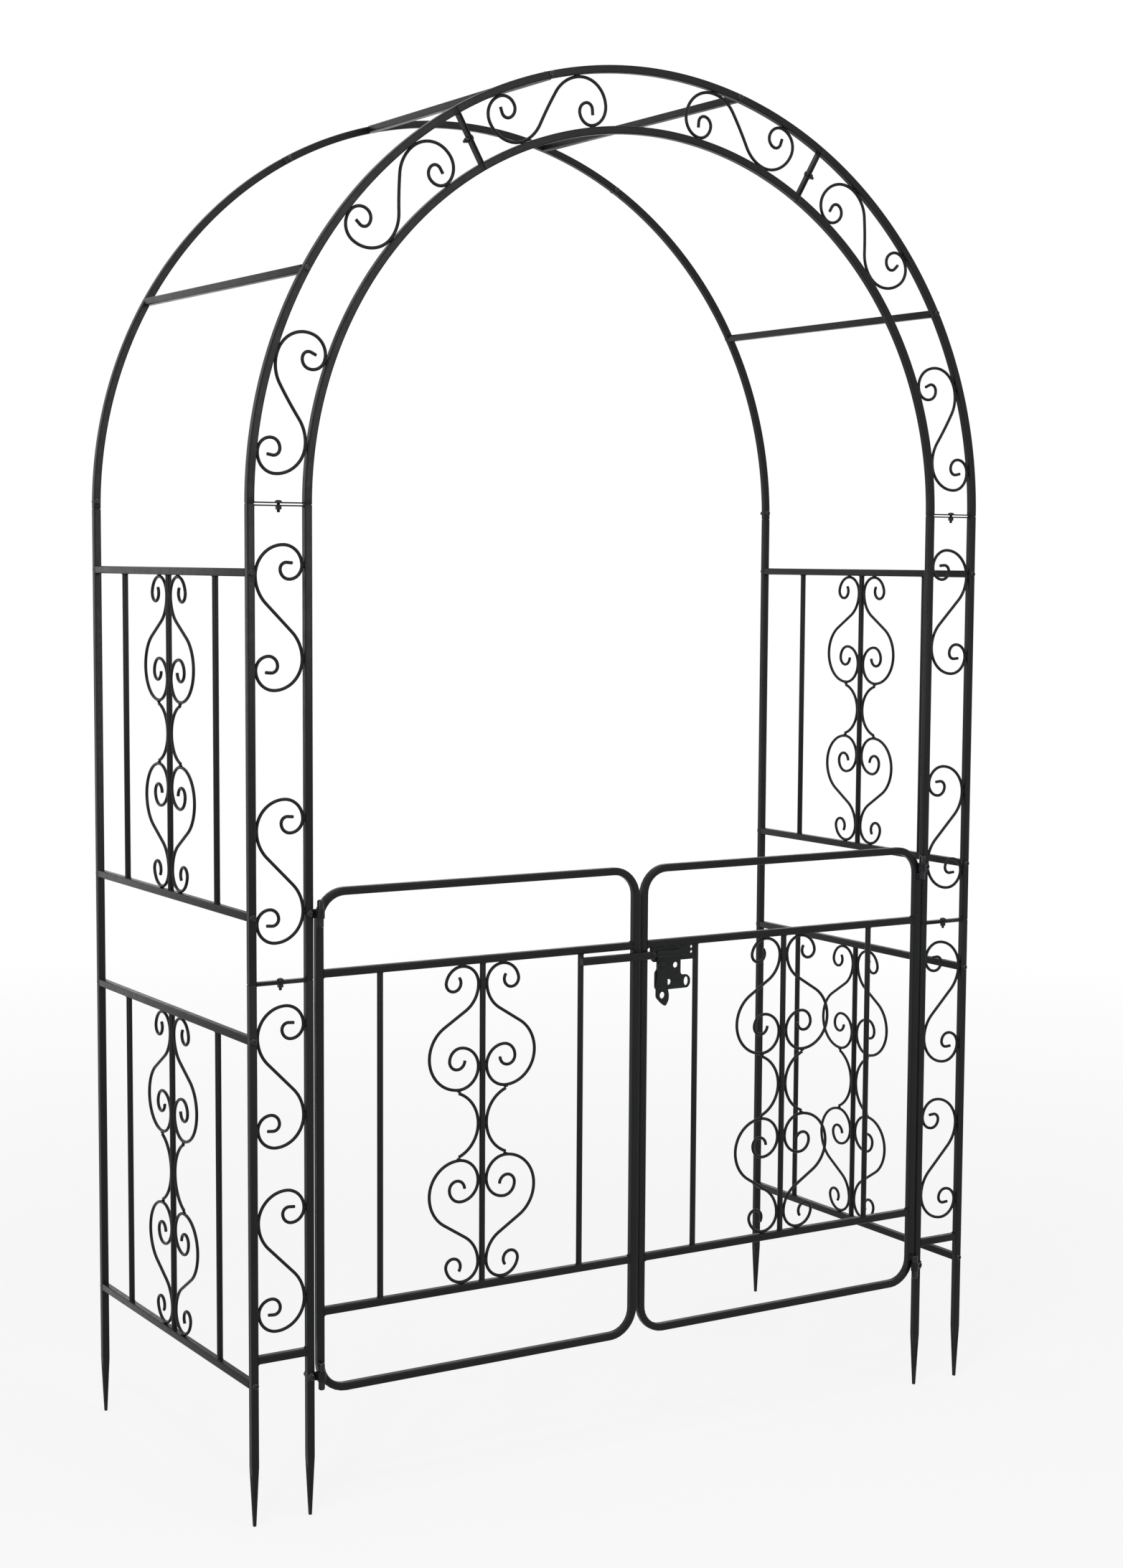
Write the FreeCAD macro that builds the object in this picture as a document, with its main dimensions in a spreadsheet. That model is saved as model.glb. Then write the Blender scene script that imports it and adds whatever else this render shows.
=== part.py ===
import FreeCAD, Part
import math
import os

import Sketcher
from FreeCAD import Placement, Rotation, Vector

# Garden arch with a double gate, in millimetres.
# +X is to the right, +Y to the rear, +Z up. The origin is on the centre line, half way
# back, at the level of the stake tips. The front frame is two round-topped hoops joined
# like a ladder, the rear frame is a single hoop, and side panels and crossbars join them.

document = FreeCAD.newDocument("garden_arch")
sheet = document.addObject("Spreadsheet::Sheet", "dims")

# Driving dimensions: name, value and meaning
DIMENSIONS = (
    ("tube_side", 12.0, "square tube of posts, hoops, rails and gate frames"),
    ("tube_wall", 1.0, "wall of that tube, left round every sleeve"),
    ("half_width", 680.0, "centre line to the outer posts"),
    ("ladder_pitch", 92.0, "outer post to inner post of the front ladders"),
    ("arch_depth", 596.0, "front posts to rear posts"),
    ("spring_height", 1520.0, "height where the posts end and the hoops begin"),
    ("section_height", 819.0, "height where the front ladders are joined"),
    ("hoop_joint_angle", 60.0, "angle of the upper hoop joints above the horizontal"),
    ("stake_length", 92.0, "length of the pinched point of a stake"),
    ("stake_tip", 4.5, "side of the blunt tip of a stake"),
    ("neck_length", 24.0, "length of the swaged neck that plugs into the next tube"),
    ("neck_play", 0.2, "clearance on each side of a neck in its sleeve"),
    ("joint_gap", 0.6, "visible gap between two joined tubes"),
    ("bottom_rung_height", 254.0, "height of the thick rung at the foot of a ladder"),
    ("strip_thickness", 3.0, "flat strips that clamp two ladder sections together"),
    ("strip_width", 10.0, "width of those strips, front to back"),
    ("upper_panel_top", 1421.0, "top rail of the upper side panel"),
    ("upper_panel_foot", 918.0, "bottom rail of the upper side panel, and upper hinge"),
    ("lower_panel_top", 735.0, "top rail of the lower side panel"),
    ("lower_panel_foot", 216.0, "bottom rail of the lower side panel, and lower hinge"),
    ("low_bar_angle", 30.0, "lower crossbars between the hoops, above the horizontal"),
    ("high_bar_angle", 75.0, "upper crossbars between the hoops, above the horizontal"),
    ("picket_diameter", 9.5, "round pickets"),
    ("picket_flats", 8.0, "flats that stand for the round of a picket or a small hole"),
    ("side_picket_pitch", 176.0, "spacing of the pickets in a side panel"),
    ("wire_side", 5.0, "scroll wire"),
    ("weld_gap", 0.2, "gap that a weld bridges between a wire and its neighbour"),
    ("hinge_side_gap", 5.0, "inner post to gate stile"),
    ("meeting_gap", 4.0, "between the two meeting stiles"),
    ("gate_top", 948.0, "centre of the gate's top rail"),
    ("gate_upper_rail", 826.0, "centre of the gate's upper middle rail"),
    ("gate_lower_rail", 312.0, "centre of the gate's lower middle rail"),
    ("gate_bottom", 190.0, "centre of the gate's bottom rail"),
    ("gate_corner_radius", 42.0, "centre line radius of the gate's bent corners"),
    ("gate_picket_pitch", 179.0, "spacing of the pickets in a leaf"),
    ("pivot_diameter", 10.0, "gate pivot bars"),
    ("pivot_length", 43.0, "length of a pivot bar"),
    ("pivot_offset", 3.5, "pivot beyond the stile's centre line, towards the post"),
    ("pivot_play", 0.05, "radial running clearance of a pivot in its strap"),
    ("strap_thickness", 1.5, "hinge straps"),
    ("strap_height", 14.0, "height of a hinge strap"),
    ("strap_step", 2.0, "reach of the bolted strap end beyond the post, where it joggles"),
    ("eye_flats", 12.0, "flats that stand for the round outside of a hinge eye or rivet head"),
    ("strap_standoff", 0.6, "clearance between a strap and the stile that turns by it"),
    ("bolt_diameter", 5.0, "frame bolts"),
    ("bolt_head_diameter", 11.0, "domed head of a frame bolt"),
    ("bolt_head_height", 3.0, "height of that head"),
    ("bolt_play", 0.3, "radial clearance of a bolt in its hole"),
    ("bolt_grip", 14.0, "length of a rail bolt inside the rail's end"),
    ("nut_width", 8.0, "across flats of a frame nut"),
    ("nut_height", 5.0, "height of a frame nut"),
    ("bolt_tail", 4.0, "length of thread that shows past a nut"),
    ("hinge_bolt_diameter", 6.0, "bolts that hold the hinge straps"),
    ("hinge_head_diameter", 13.0, "domed head of a hinge bolt"),
    ("hinge_head_height", 4.0, "height of that head"),
    ("hinge_nut_width", 10.0, "across flats of a hinge nut"),
    ("hinge_nut_height", 5.0, "height of a hinge nut"),
    ("ladder_scroll_height", 217.0, "height of one S scroll in a ladder"),
    ("ladder_curl_outer", 45.0, "first quarter turn of a ladder scroll's curl"),
    ("ladder_curl_third", 20.5, "third quarter turn, after one that reaches the other post"),
    ("ladder_curl_fourth", 14.5, "fourth quarter turn"),
    ("ladder_curl_inner", 10.0, "last turn"),
    ("ladder_curl_end", 9.0, "straight end of the wire"),
    ("lower_scroll_pitch", 278.0, "spacing of the two scrolls in a lower ladder section"),
    ("upper_scroll_pitch", 372.0, "spacing of the two scrolls in an upper ladder section"),
    ("hoop_scroll_angle", 33.0, "angle between the two scrolls of a hoop section"),
    ("heart_curl", 28.8, "large radius of the small curl of a heart scroll"),
    ("heart_curl_inner", 13.0, "small radius of that curl"),
    ("heart_curl_turn", 232.0, "angle that this small radius turns through"),
    ("heart_neck_radius", 48.6, "bend below the small curl"),
    ("heart_neck_angle", 58.0, "slope of the heart's shoulder from the vertical"),
    ("heart_shoulder", 44.0, "straight run of the shoulder"),
    ("heart_shoulder_radius", 56.0, "bend from the shoulder into the lobe"),
    ("heart_lobe", 52.0, "outer radius of the lobe"),
    ("heart_lobe_third", 31.0, "third radius of the lobe's spiral"),
    ("heart_lobe_fourth", 20.0, "fourth radius of the lobe's spiral"),
    ("heart_lobe_inner", 13.5, "innermost radius of the lobe's spiral"),
    ("bow_gap", 0.5, "gap between a bow's square-cut end and the lobe that it is welded to"),
    ("facet_rise", 4.6, "how far a flat of a bent wire may lie inside its true curve"),
    ("striker_start", 116.0, "left end of the striker bar from the centre line"),
    ("striker_end", 13.0, "right end of the striker bar's tube"),
    ("striker_height", 809.5, "centre of the striker bar"),
    ("striker_standoff", 0.6, "striker bar to the front of the stiles"),
    ("nose_diameter", 9.0, "round nose of the striker bar"),
    ("nose_length", 11.0, "length of that nose"),
    ("latch_plate_thickness", 3.0, "steel of the latch and its tongue"),
    ("latch_strip_depth", 24.0, "height of the latch's strip under the rail"),
    ("latch_setback", 4.0, "gate centre plane to the front of that strip"),
    ("strip_hole_diameter", 5.0, "two small holes at the right end of that strip"),
    ("strip_hole_inset", 5.5, "upper small hole from the strip's top and right edges"),
    ("strip_hole_pitch", 9.0, "spacing of the two small holes"),
    ("lock_inset", 17.0, "left end of the strip to the lock plate"),
    ("lock_width", 46.0, "width of the lock plate"),
    ("lock_drop", 46.0, "foot of the strip to the foot of the lock plate"),
    ("tab_reach", 19.0, "tab to the right of the lock plate"),
    ("tab_height", 22.0, "height of that tab"),
    ("rivet_inset", 26.0, "left end of the strip to the tongue's rivet"),
    ("rivet_drop", 7.0, "foot of the strip to that rivet"),
    ("rivet_head_height", 1.5, "flat head of that rivet"),
    ("tongue_length", 66.0, "rivet to the tip of the tongue"),
    ("tongue_hole_rise", 19.0, "tip of the tongue to the middle of its hole"),
    ("latch_rivet_diameter", 6.0, "rivet that the tongue swings on"),
    ("latch_play", 0.3, "side play of the tongue between plate and rivet head"),
    ("latch_hole_diameter", 9.5, "round holes in the latch plate"),
)

for row, (name, value, meaning) in enumerate(DIMENSIONS, start=1):
    sheet.set(f"A{row}", name)
    sheet.set(f"B{row}", str(value))
    sheet.set(f"C{row}", meaning)
    sheet.setAlias(f"B{row}", name)
document.recompute()


def size(name):
    """A driving dimension, read from the sheet."""
    return float(sheet.get(name))


# Lengths that follow from the driving dimensions
tube = size("tube_side")
half_tube = tube / 2
pivot_radius = size("pivot_diameter") / 2
strap_outer_radius = pivot_radius + size("pivot_play") + size("strap_thickness")
front_reach = half_tube + size("strap_standoff") + 2 * strap_outer_radius
rear_reach = half_tube + size("nut_height") + size("bolt_tail")
outer_x = size("half_width")
inner_x = outer_x - size("ladder_pitch")
front_y = (front_reach - rear_reach - size("arch_depth")) / 2
rear_y = front_y + size("arch_depth")
middle_y = (front_y + rear_y) / 2
spring = size("spring_height")
joint = size("section_height")
hoop_joint = size("hoop_joint_angle")
gap = size("joint_gap")
wire = size("wire_side")
weld = size("weld_gap")
picket_radius = size("picket_diameter") / 2
neck_side = tube - 2 * size("tube_wall") - 2 * size("neck_play")
sleeve_side = tube - 2 * size("tube_wall")
sleeve_depth = size("neck_length") + 1.0
panel_heights = (
    (size("lower_panel_foot"), size("lower_panel_top")),
    (size("upper_panel_foot"), size("upper_panel_top")),
)
rail_heights = [height for panel in panel_heights for height in panel]
hinge_heights = [panel[0] for panel in panel_heights]
bar_angles = (size("low_bar_angle"), size("high_bar_angle"))
SIDES = (("left", -1), ("right", 1))

# Places on a gate leaf, measured on the right-hand leaf
stile_outer_x = inner_x - half_tube - size("hinge_side_gap") - half_tube
stile_inner_x = size("meeting_gap") / 2 + half_tube
leaf_centre_x = (stile_outer_x + stile_inner_x) / 2
gate_rail_heights = (size("gate_lower_rail"), size("gate_upper_rail"))
pivot_x = stile_outer_x + size("pivot_offset")
pivot_y = front_y - half_tube - size("strap_standoff") - strap_outer_radius

nodes = {}
X_AXIS = Vector(1, 0, 0)
Y_AXIS = Vector(0, 1, 0)
Z_AXIS = Vector(0, 0, 1)
UP = Rotation()
FORWARD = Rotation(X_AXIS, 90)
BACKWARD = Rotation(X_AXIS, -90)


def add(kind, label, sizes, position=(0, 0, 0), turn=UP):
    """A primitive whose sizes are expressions on the sheet, put where it belongs."""
    item = document.addObject(kind, label)
    item.Label = label
    for property_name, expression in sizes.items():
        item.setExpression(property_name, expression)
    item.Placement = Placement(Vector(*position), turn)
    return item


def join(label, pieces):
    """Several pieces welded into one solid."""
    item = document.addObject("Part::MultiFuse", label)
    item.Shapes = pieces
    item.Refine = True
    return item


def cut(label, base, tools):
    """A piece with other pieces taken out of it."""
    if not tools:
        return base
    item = document.addObject("Part::Cut", label)
    item.Base = base
    item.Tool = tools[0] if len(tools) == 1 else join(label + "_tools", tools)
    return item


def node(name, item):
    """Marks an object as the finished piece of that name."""
    item.Label = name
    nodes[name] = item
    return item


def group(name, items):
    """Separate solids of one kind that share a node."""
    item = document.addObject("Part::Compound", name)
    item.Links = items
    return node(name, item)


def shaped(name, solids):
    """A node whose solids are worked out here from the sheet's sizes."""
    item = document.addObject("Part::Feature", name)
    item.Shape = Part.makeCompound(solids)
    return node(name, item)


def block(label, width, depth, height, centre):
    """A box of three sheet expressions about a centre given by its middle point."""
    item = add("Part::Box", label, {"Length": width, "Width": depth, "Height": height})
    document.recompute([item])
    half = Vector(float(item.Length), float(item.Width), float(item.Height)) * 0.5
    item.Placement = Placement(Vector(*centre) - half, UP)
    return item


def bolt_hole(label, x, z, radius="dims.bolt_diameter / 2 + dims.bolt_play", y=front_y):
    """A clearance hole along Y right through a tube centred at y."""
    sizes = {"Polygon": "6", "Circumradius": f"({radius}) / cos(30)", "Height": "dims.tube_side + 2"}
    return add("Part::Prism", label, sizes, (x, y + half_tube + 1, z), FORWARD)


# Posts
def post(name, x, y, foot, head, holes, staked=False, sleeved=False):
    """A square tube from foot to head, with a swaged neck on its upper end."""
    length = head - foot - gap / 2
    shaft = add("Part::Box", name + "_shaft", {"Length": "dims.tube_side", "Width": "dims.tube_side"})
    shaft.Height = length
    shaft.Placement = Placement(Vector(x - half_tube, y - half_tube, foot), UP)
    neck = block(
        name + "_neck",
        "dims.tube_side - 2 * dims.tube_wall - 2 * dims.neck_play",
        "dims.tube_side - 2 * dims.tube_wall - 2 * dims.neck_play",
        "dims.neck_length",
        (x, y, foot + length + size("neck_length") / 2),
    )
    pieces = [shaft, neck]
    if staked:
        point = add(
            "Part::Wedge",
            name + "_point",
            {
                "Xmax": "dims.tube_side",
                "Zmax": "dims.tube_side",
                "Ymax": "dims.stake_length",
                "X2min": "(dims.tube_side - dims.stake_tip) / 2",
                "Z2min": "(dims.tube_side - dims.stake_tip) / 2",
                "X2max": "(dims.tube_side + dims.stake_tip) / 2",
                "Z2max": "(dims.tube_side + dims.stake_tip) / 2",
            },
            (x - half_tube, y - half_tube, foot),
            BACKWARD,
        )
        pieces.append(point)
    whole = join(name + "_whole", pieces)
    tools = list(holes)
    if sleeved:
        tools.append(
            block(
                name + "_sleeve",
                "dims.tube_side - 2 * dims.tube_wall",
                "dims.tube_side - 2 * dims.tube_wall",
                "dims.neck_length + 1",
                (x, y, foot + sleeve_depth / 2),
            )
        )
    return node(name, cut(name + "_cut", whole, tools))


HINGE_HOLE = "dims.hinge_bolt_diameter / 2 + dims.bolt_play"
stake_foot = size("stake_length")

for side, sign in SIDES:
    for place, x in (("outer", outer_x * sign), ("inner", inner_x * sign)):
        heights = rail_heights if place == "outer" else hinge_heights
        radius = "dims.bolt_diameter / 2 + dims.bolt_play" if place == "outer" else HINGE_HOLE
        low = [z for z in heights if z < joint]
        high = [z for z in heights if z > joint]
        low_holes = [bolt_hole(f"{side}_{place}_hole_{z:.0f}", x, z, radius) for z in low]
        high_holes = [bolt_hole(f"{side}_{place}_hole_{z:.0f}", x, z, radius) for z in high]
        post(f"stake_post_{place}_{side}", x, front_y, stake_foot, joint, low_holes, staked=True)
        post(f"upper_post_{place}_{side}", x, front_y, joint + gap / 2, spring, high_holes, sleeved=True)
    rear_holes = [
        bolt_hole(f"rear_{side}_hole_{z:.0f}", outer_x * sign, z, y=rear_y) for z in rail_heights
    ]
    pin_height = spring + gap / 2 + size("neck_length") / 2
    rear_holes.append(bolt_hole(f"rear_{side}_pin_hole", outer_x * sign, pin_height, y=rear_y))
    post(f"rear_post_{side}", outer_x * sign, rear_y, stake_foot, spring, rear_holes, staked=True)


# Hoops
def on_hoop(radius, angle, y):
    """The point of a hoop's centre line at an angle above the +X side."""
    turn = math.radians(angle)
    return Vector(radius * math.cos(turn), y, spring + radius * math.sin(turn))


def hoop_section(name, radius, y, start, end, holes, necks):
    """An arc of square tube from start to end angle, with sleeves and necks on its ends.

    A neck at 1 is a swaged end that goes into the next section, at 0 a sleeve.
    """
    margin = math.degrees(gap / 2 / radius)
    face = document.addObject("Part::Plane", name + "_section")
    face.setExpression("Length", "dims.tube_side")
    face.setExpression("Width", "dims.tube_side")
    centre = Vector(radius - half_tube, y - half_tube, spring)
    face.Placement = Placement(centre, UP)
    bend = document.addObject("Part::Revolution", name + "_bend")
    bend.Source = face
    bend.Base = Vector(0, y, spring)
    bend.Axis = Vector(0, -1, 0)
    bend.Angle = end - start - 2 * margin
    bend.Solid = True
    turned = Rotation(Vector(0, -1, 0), start + margin)
    pivot = Vector(0, y, spring)
    bend.Placement = Placement(pivot - turned.multVec(pivot), turned)
    solid = bend
    tools = list(holes)
    for angle, inward, neck in ((start, 1, necks[0]), (end, -1, necks[1])):
        along = Rotation(Vector(0, -1, 0), angle)
        side_expression = "dims.tube_side - 2 * dims.tube_wall"
        if neck:
            side_expression += " - 2 * dims.neck_play"
        side = neck_side if neck else sleeve_side
        length = size("neck_length") + gap / 2 if neck else sleeve_depth + gap / 2
        reach = -inward if neck else inward
        plug = add(
            "Part::Box",
            f"{name}_{'neck' if neck else 'sleeve'}_{angle:.0f}",
            {"Length": side_expression, "Width": side_expression},
        )
        root = tube / 2 if neck else 0
        plug.Height = length + root
        corner = Vector(radius - side / 2, y - side / 2, spring)
        corner.z += 0 if reach > 0 else -length
        if neck:
            corner.z += -root if reach > 0 else 0
        plug.Placement = Placement(pivot - along.multVec(pivot) + along.multVec(corner), along)
        if neck:
            solid = join(f"{name}_necked_{angle:.0f}", [solid, plug])
        else:
            tools.append(plug)
    return cut(name, solid, tools)


def hoop_holes(prefix, radius, y, angles):
    """Bolt holes along Y through a hoop at the given angles."""
    holes = []
    for angle in angles:
        at = on_hoop(radius, angle, y)
        holes.append(bolt_hole(f"{prefix}_hole_{angle:.0f}", at.x, at.z, y=y))
    return holes


low_bar, high_bar = bar_angles
pin_step = math.degrees((gap / 2 + size("neck_length") / 2) / outer_x)
HOOP_SECTIONS = (
    ("right", 0, hoop_joint, (0, 1)),
    ("centre", hoop_joint, 180 - hoop_joint, (0, 0)),
    ("left", 180 - hoop_joint, 180, (1, 0)),
)
BAR_ANGLES = {
    "right": (low_bar,),
    "centre": (high_bar, 180 - high_bar),
    "left": (180 - low_bar,),
}
PIN_ANGLES = {
    "right": (pin_step, hoop_joint + pin_step),
    "centre": (hoop_joint + pin_step, 180 - hoop_joint - pin_step),
    "left": (180 - hoop_joint - pin_step, 180 - pin_step),
}
HOOPS = (
    ("front_hoop_outer", outer_x, front_y, True, False),
    ("front_hoop_inner", inner_x, front_y, False, False),
    ("rear_hoop", outer_x, rear_y, True, True),
)
for hoop, radius, y, barred, pinned in HOOPS:
    sections = []
    for place, start, end, necks in HOOP_SECTIONS:
        label = f"{hoop}_{place}"
        angles = (BAR_ANGLES[place] if barred else ()) + (PIN_ANGLES[place] if pinned else ())
        holes = hoop_holes(label, radius, y, angles)
        sections.append(hoop_section(label, radius, y, start, end, holes, necks))
    group(hoop, sections)

# Rungs and clamp strips of the front ladders
rung_x = (outer_x + inner_x) / 2
rungs = [
    block(
        "bottom_rung_" + side,
        "dims.ladder_pitch - dims.tube_side",
        "dims.tube_side",
        "dims.tube_side",
        (rung_x * sign, front_y, size("bottom_rung_height")),
    )
    for side, sign in SIDES
]
group("ladder_bottom_rungs", rungs)

strip = size("strip_thickness")
strip_length = outer_x - inner_x - tube - weld


def clamp_pair(angle, centre):
    """Two drilled strips back to back, their faces square to the ladder at that place."""
    lean = Rotation(Vector(0, -1, 0), angle)
    pair = []
    for step in (-strip, 0):
        corner = Vector(-strip_length / 2, -size("strip_width") / 2, step)
        solid = Part.makeBox(strip_length, size("strip_width"), strip, corner)
        hole = hexagon(size("bolt_diameter") / 2 + size("bolt_play"), strip + 2, step - 1)
        solid = solid.cut(hole)
        solid.Placement = Placement(centre, lean)
        pair.append(solid)
    return pair


def hexagon(inner_radius, height, foot=0.0):
    """A hexagonal prism along Z that a circle of inner_radius just fits inside."""
    reach = inner_radius / math.cos(math.radians(30))
    turns = [math.radians(60 * i) for i in range(6)]
    corners = [Vector(reach * math.cos(turn), reach * math.sin(turn), foot) for turn in turns]
    return Part.Face(Part.makePolygon(corners + corners[:1])).extrude(Vector(0, 0, height))


def round_head(radius, height, sides=6):
    """A low domed head along Z on the plane Z = 0, in flat facets."""
    rings = ((radius, 0.0), (radius * 0.62, height))
    wires = []
    for ring_radius, z in rings:
        corners = [
            Vector(
                ring_radius * math.cos(math.radians(360 / sides * i)),
                ring_radius * math.sin(math.radians(360 / sides * i)),
                z,
            )
            for i in range(sides)
        ]
        wires.append(Part.makePolygon(corners + corners[:1]))
    return Part.makeLoft(wires, True, True)


def bolt(radius, head_radius, head_height, shank_length):
    """A domed bolt along Z: the head above the plane Z = 0, the shank below it."""
    shank = hexagon(radius * math.cos(math.radians(30)), shank_length, -shank_length)
    return round_head(head_radius, head_height).fuse(shank).removeSplitter()


def nut(width, height, bolt_radius):
    """A hexagon nut along Z on the plane Z = 0."""
    return hexagon(width / 2, height).cut(hexagon(bolt_radius, height + 2, -1))


def put(solid, position, turn):
    """A copy of a solid, turned and moved to its place."""
    copy = solid.copy()
    copy.Placement = Placement(position, turn)
    return copy


CLAMP_PLACES = [
    (0 if sign > 0 else 180, Vector(rung_x * sign, front_y, height))
    for height in (joint, spring)
    for _, sign in SIDES
]
CLAMP_PLACES += [(angle, on_hoop(rung_x, angle, front_y)) for angle in (hoop_joint, 180 - hoop_joint)]
strips = []
for angle, centre in CLAMP_PLACES:
    strips += clamp_pair(angle, centre)
shaped("clamp_strips", strips)

# Side panels and crossbars
rail_length = "dims.arch_depth - dims.tube_side"
rail_thread = "dims.bolt_diameter / 2 + dims.pivot_play"


def drilled_rail(label, x, z):
    """A square rail from front to rear, drilled at both ends for its bolts."""
    bar = block(label + "_bar", "dims.tube_side", rail_length, "dims.tube_side", (x, middle_y, z))
    half = size("arch_depth") / 2 - half_tube
    sizes = {"Polygon": "6", "Circumradius": f"({rail_thread}) / cos(30)", "Height": "dims.bolt_grip + 2"}
    front = add("Part::Prism", label + "_front", sizes, (x, middle_y - half - 1, z), BACKWARD)
    rear = add("Part::Prism", label + "_rear", sizes, (x, middle_y + half + 1, z), FORWARD)
    return cut(label, bar, [front, rear])


def scroll_solid(points, place, depth):
    """A bent wire through points of a plane; place puts a point of the plane in space."""
    half = wire / 2
    left = []
    right = []
    for i, (a, b) in enumerate(points):
        before = points[max(i - 1, 0)]
        after = points[min(i + 1, len(points) - 1)]
        turn_in = math.atan2(b - before[1], a - before[0])
        turn_out = math.atan2(after[1] - b, after[0] - a)
        if i == 0:
            turn_in = turn_out
        if i == len(points) - 1:
            turn_out = turn_in
        bend = math.remainder(turn_out - turn_in, 2 * math.pi)
        direction = turn_in + bend / 2 + math.pi / 2
        reach = half / math.cos(bend / 2)
        left.append((a + reach * math.cos(direction), b + reach * math.sin(direction)))
        right.append((a - reach * math.cos(direction), b - reach * math.sin(direction)))
    outline = [place(*point) for point in left + right[::-1]]
    face = Part.Face(Part.makePolygon(outline + outline[:1]))
    face.translate(depth * -0.5)
    return face.extrude(depth)


def bend_chain(start, heading, steps):
    """Points along tangent arcs and runs. A step is (radius, turn) or (0, length)."""
    a, b = start
    points = [(a, b)]
    for radius, amount in steps:
        if radius == 0:
            a += amount * math.cos(math.radians(heading))
            b += amount * math.sin(math.radians(heading))
            points.append((a, b))
            continue
        flat = 2 * math.degrees(math.acos(1 - min(size("facet_rise") / radius, 0.35)))
        count = math.ceil(abs(amount) / flat)
        side = math.copysign(1, amount)
        centre_a = a - side * radius * math.sin(math.radians(heading))
        centre_b = b + side * radius * math.cos(math.radians(heading))
        for i in range(1, count + 1):
            angle = math.radians(heading + amount * i / count)
            a = centre_a + side * radius * math.sin(angle)
            b = centre_b - side * radius * math.cos(angle)
            points.append((a, b))
        heading += amount
    return points


def heart_scrolls(top, bottom, centre, place, depth):
    """The heart-shaped set about a picket between two rails: four S scrolls and two bows."""
    touch = picket_radius + wire / 2 + weld
    curl = size("heart_curl")
    neck_radius = size("heart_neck_radius")
    angle = size("heart_neck_angle")
    run = size("heart_shoulder")
    shoulder = size("heart_shoulder_radius")
    lobe = size("heart_lobe")
    slope = math.radians(angle)
    reach = (neck_radius + shoulder) * (1 - math.cos(slope)) + run * math.sin(slope)
    second = reach - lobe
    start = (touch, -(wire / 2 + weld + curl))
    small_curl = (
        (curl, -90),
        (curl, -78),
        (size("heart_curl_inner"), -size("heart_curl_turn")),
    )
    up = bend_chain(start, 90, small_curl)
    down = bend_chain(
        start,
        -90,
        (
            (neck_radius, angle),
            (0, run),
            (shoulder, -angle),
            (lobe, -90),
            (second, -90),
            (size("heart_lobe_third"), -90),
            (size("heart_lobe_fourth"), -90),
            (size("heart_lobe_inner"), -180),
        ),
    )
    path = up[::-1] + down[1:]
    low = min(b for _, b in path)
    low_at = touch + reach - lobe
    middle = (top + bottom) / 2
    bow_end = top + low - wire - size("bow_gap")
    half_chord = bow_end - middle
    rise = low_at - touch
    bow_radius = (half_chord**2 + rise**2) / (2 * rise)
    half_angle = math.degrees(math.asin(half_chord / bow_radius))
    bow = []
    for i in range(2, -3, -1):
        turn = math.radians(half_angle * i / 2)
        bow.append((touch + bow_radius * (1 - math.cos(turn)), middle + bow_radius * math.sin(turn)))
    solids = []
    for sign in (-1, 1):
        upper = [(centre + sign * a, top + b) for a, b in path]
        lower = [(centre + sign * a, bottom - b) for a, b in path]
        arc = [(centre + sign * a, b) for a, b in bow]
        solids += [scroll_solid(line, place, depth) for line in (upper, lower, arc)]
    return solids


for side, sign in SIDES:
    x = outer_x * sign
    group(f"side_rails_{side}", [drilled_rail(f"{side}_rail_{z:.0f}", x, z) for z in rail_heights])
    pickets = []
    for level, (foot, head) in enumerate(panel_heights):
        for step in (-1, 0, 1):
            picket = add(
                "Part::Prism",
                f"{side}_picket_{level}_{step + 1}",
                {"Polygon": "dims.picket_flats", "Circumradius": "dims.picket_diameter / 2"},
                (x, middle_y + step * size("side_picket_pitch"), foot + half_tube),
            )
            picket.Height = head - foot - tube
            pickets.append(picket)
    group(f"side_pickets_{side}", pickets)
    for level, (foot, head) in zip(("lower", "upper"), panel_heights):
        hearts = heart_scrolls(
            head - half_tube,
            foot + half_tube,
            middle_y,
            lambda a, b, x=x: Vector(x, a, b),
            X_AXIS * wire,
        )
        shaped(f"side_scrolls_{level}_{side}", hearts)

bar_places = [on_hoop(outer_x, a, 0) for angle in bar_angles for a in (angle, 180 - angle)]
group("hoop_crossbars", [drilled_rail(f"crossbar_{i}", at.x, at.z) for i, at in enumerate(bar_places)])


# Scrolls of the front ladders and hoops
def ladder_scroll():
    """One S scroll: u across the ladder from inner (-) to outer (+), v along it."""
    width = outer_x - inner_x - tube - wire - 2 * weld
    curl = size("ladder_curl_outer")
    half_run = size("ladder_scroll_height") / 2 - curl - wire / 2
    slope = math.radians(45)
    radius = (2 * half_run - width) / (2 * (math.sin(slope) - 1 + math.cos(slope)))
    run = (width - 2 * radius * (1 - math.cos(slope))) / math.sin(slope)
    start = (width / 2, half_run)
    curl_steps = (
        (curl, 90),
        (width - curl, 90),
        (size("ladder_curl_third"), 90),
        (size("ladder_curl_fourth"), 90),
        (size("ladder_curl_inner"), 95),
        (0, size("ladder_curl_end")),
    )
    upper = bend_chain(start, 90, curl_steps)
    crossing = bend_chain(start, -90, ((radius, -45), (0, run), (radius, 45)))
    lower = [(-u, -v) for u, v in upper]
    return upper[::-1] + crossing[1:] + lower[1:]


s_path = ladder_scroll()


def straight_scrolls(name, sign, middle, pitch):
    """Two S scrolls in a ladder section about the height middle."""
    solids = []
    for step in (-pitch / 2, pitch / 2):
        points = [(sign * (rung_x + u), middle + step + v) for u, v in s_path]
        solids.append(scroll_solid(points, lambda a, b: Vector(a, front_y, b), Y_AXIS * wire))
    shaped(name, solids)


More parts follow.
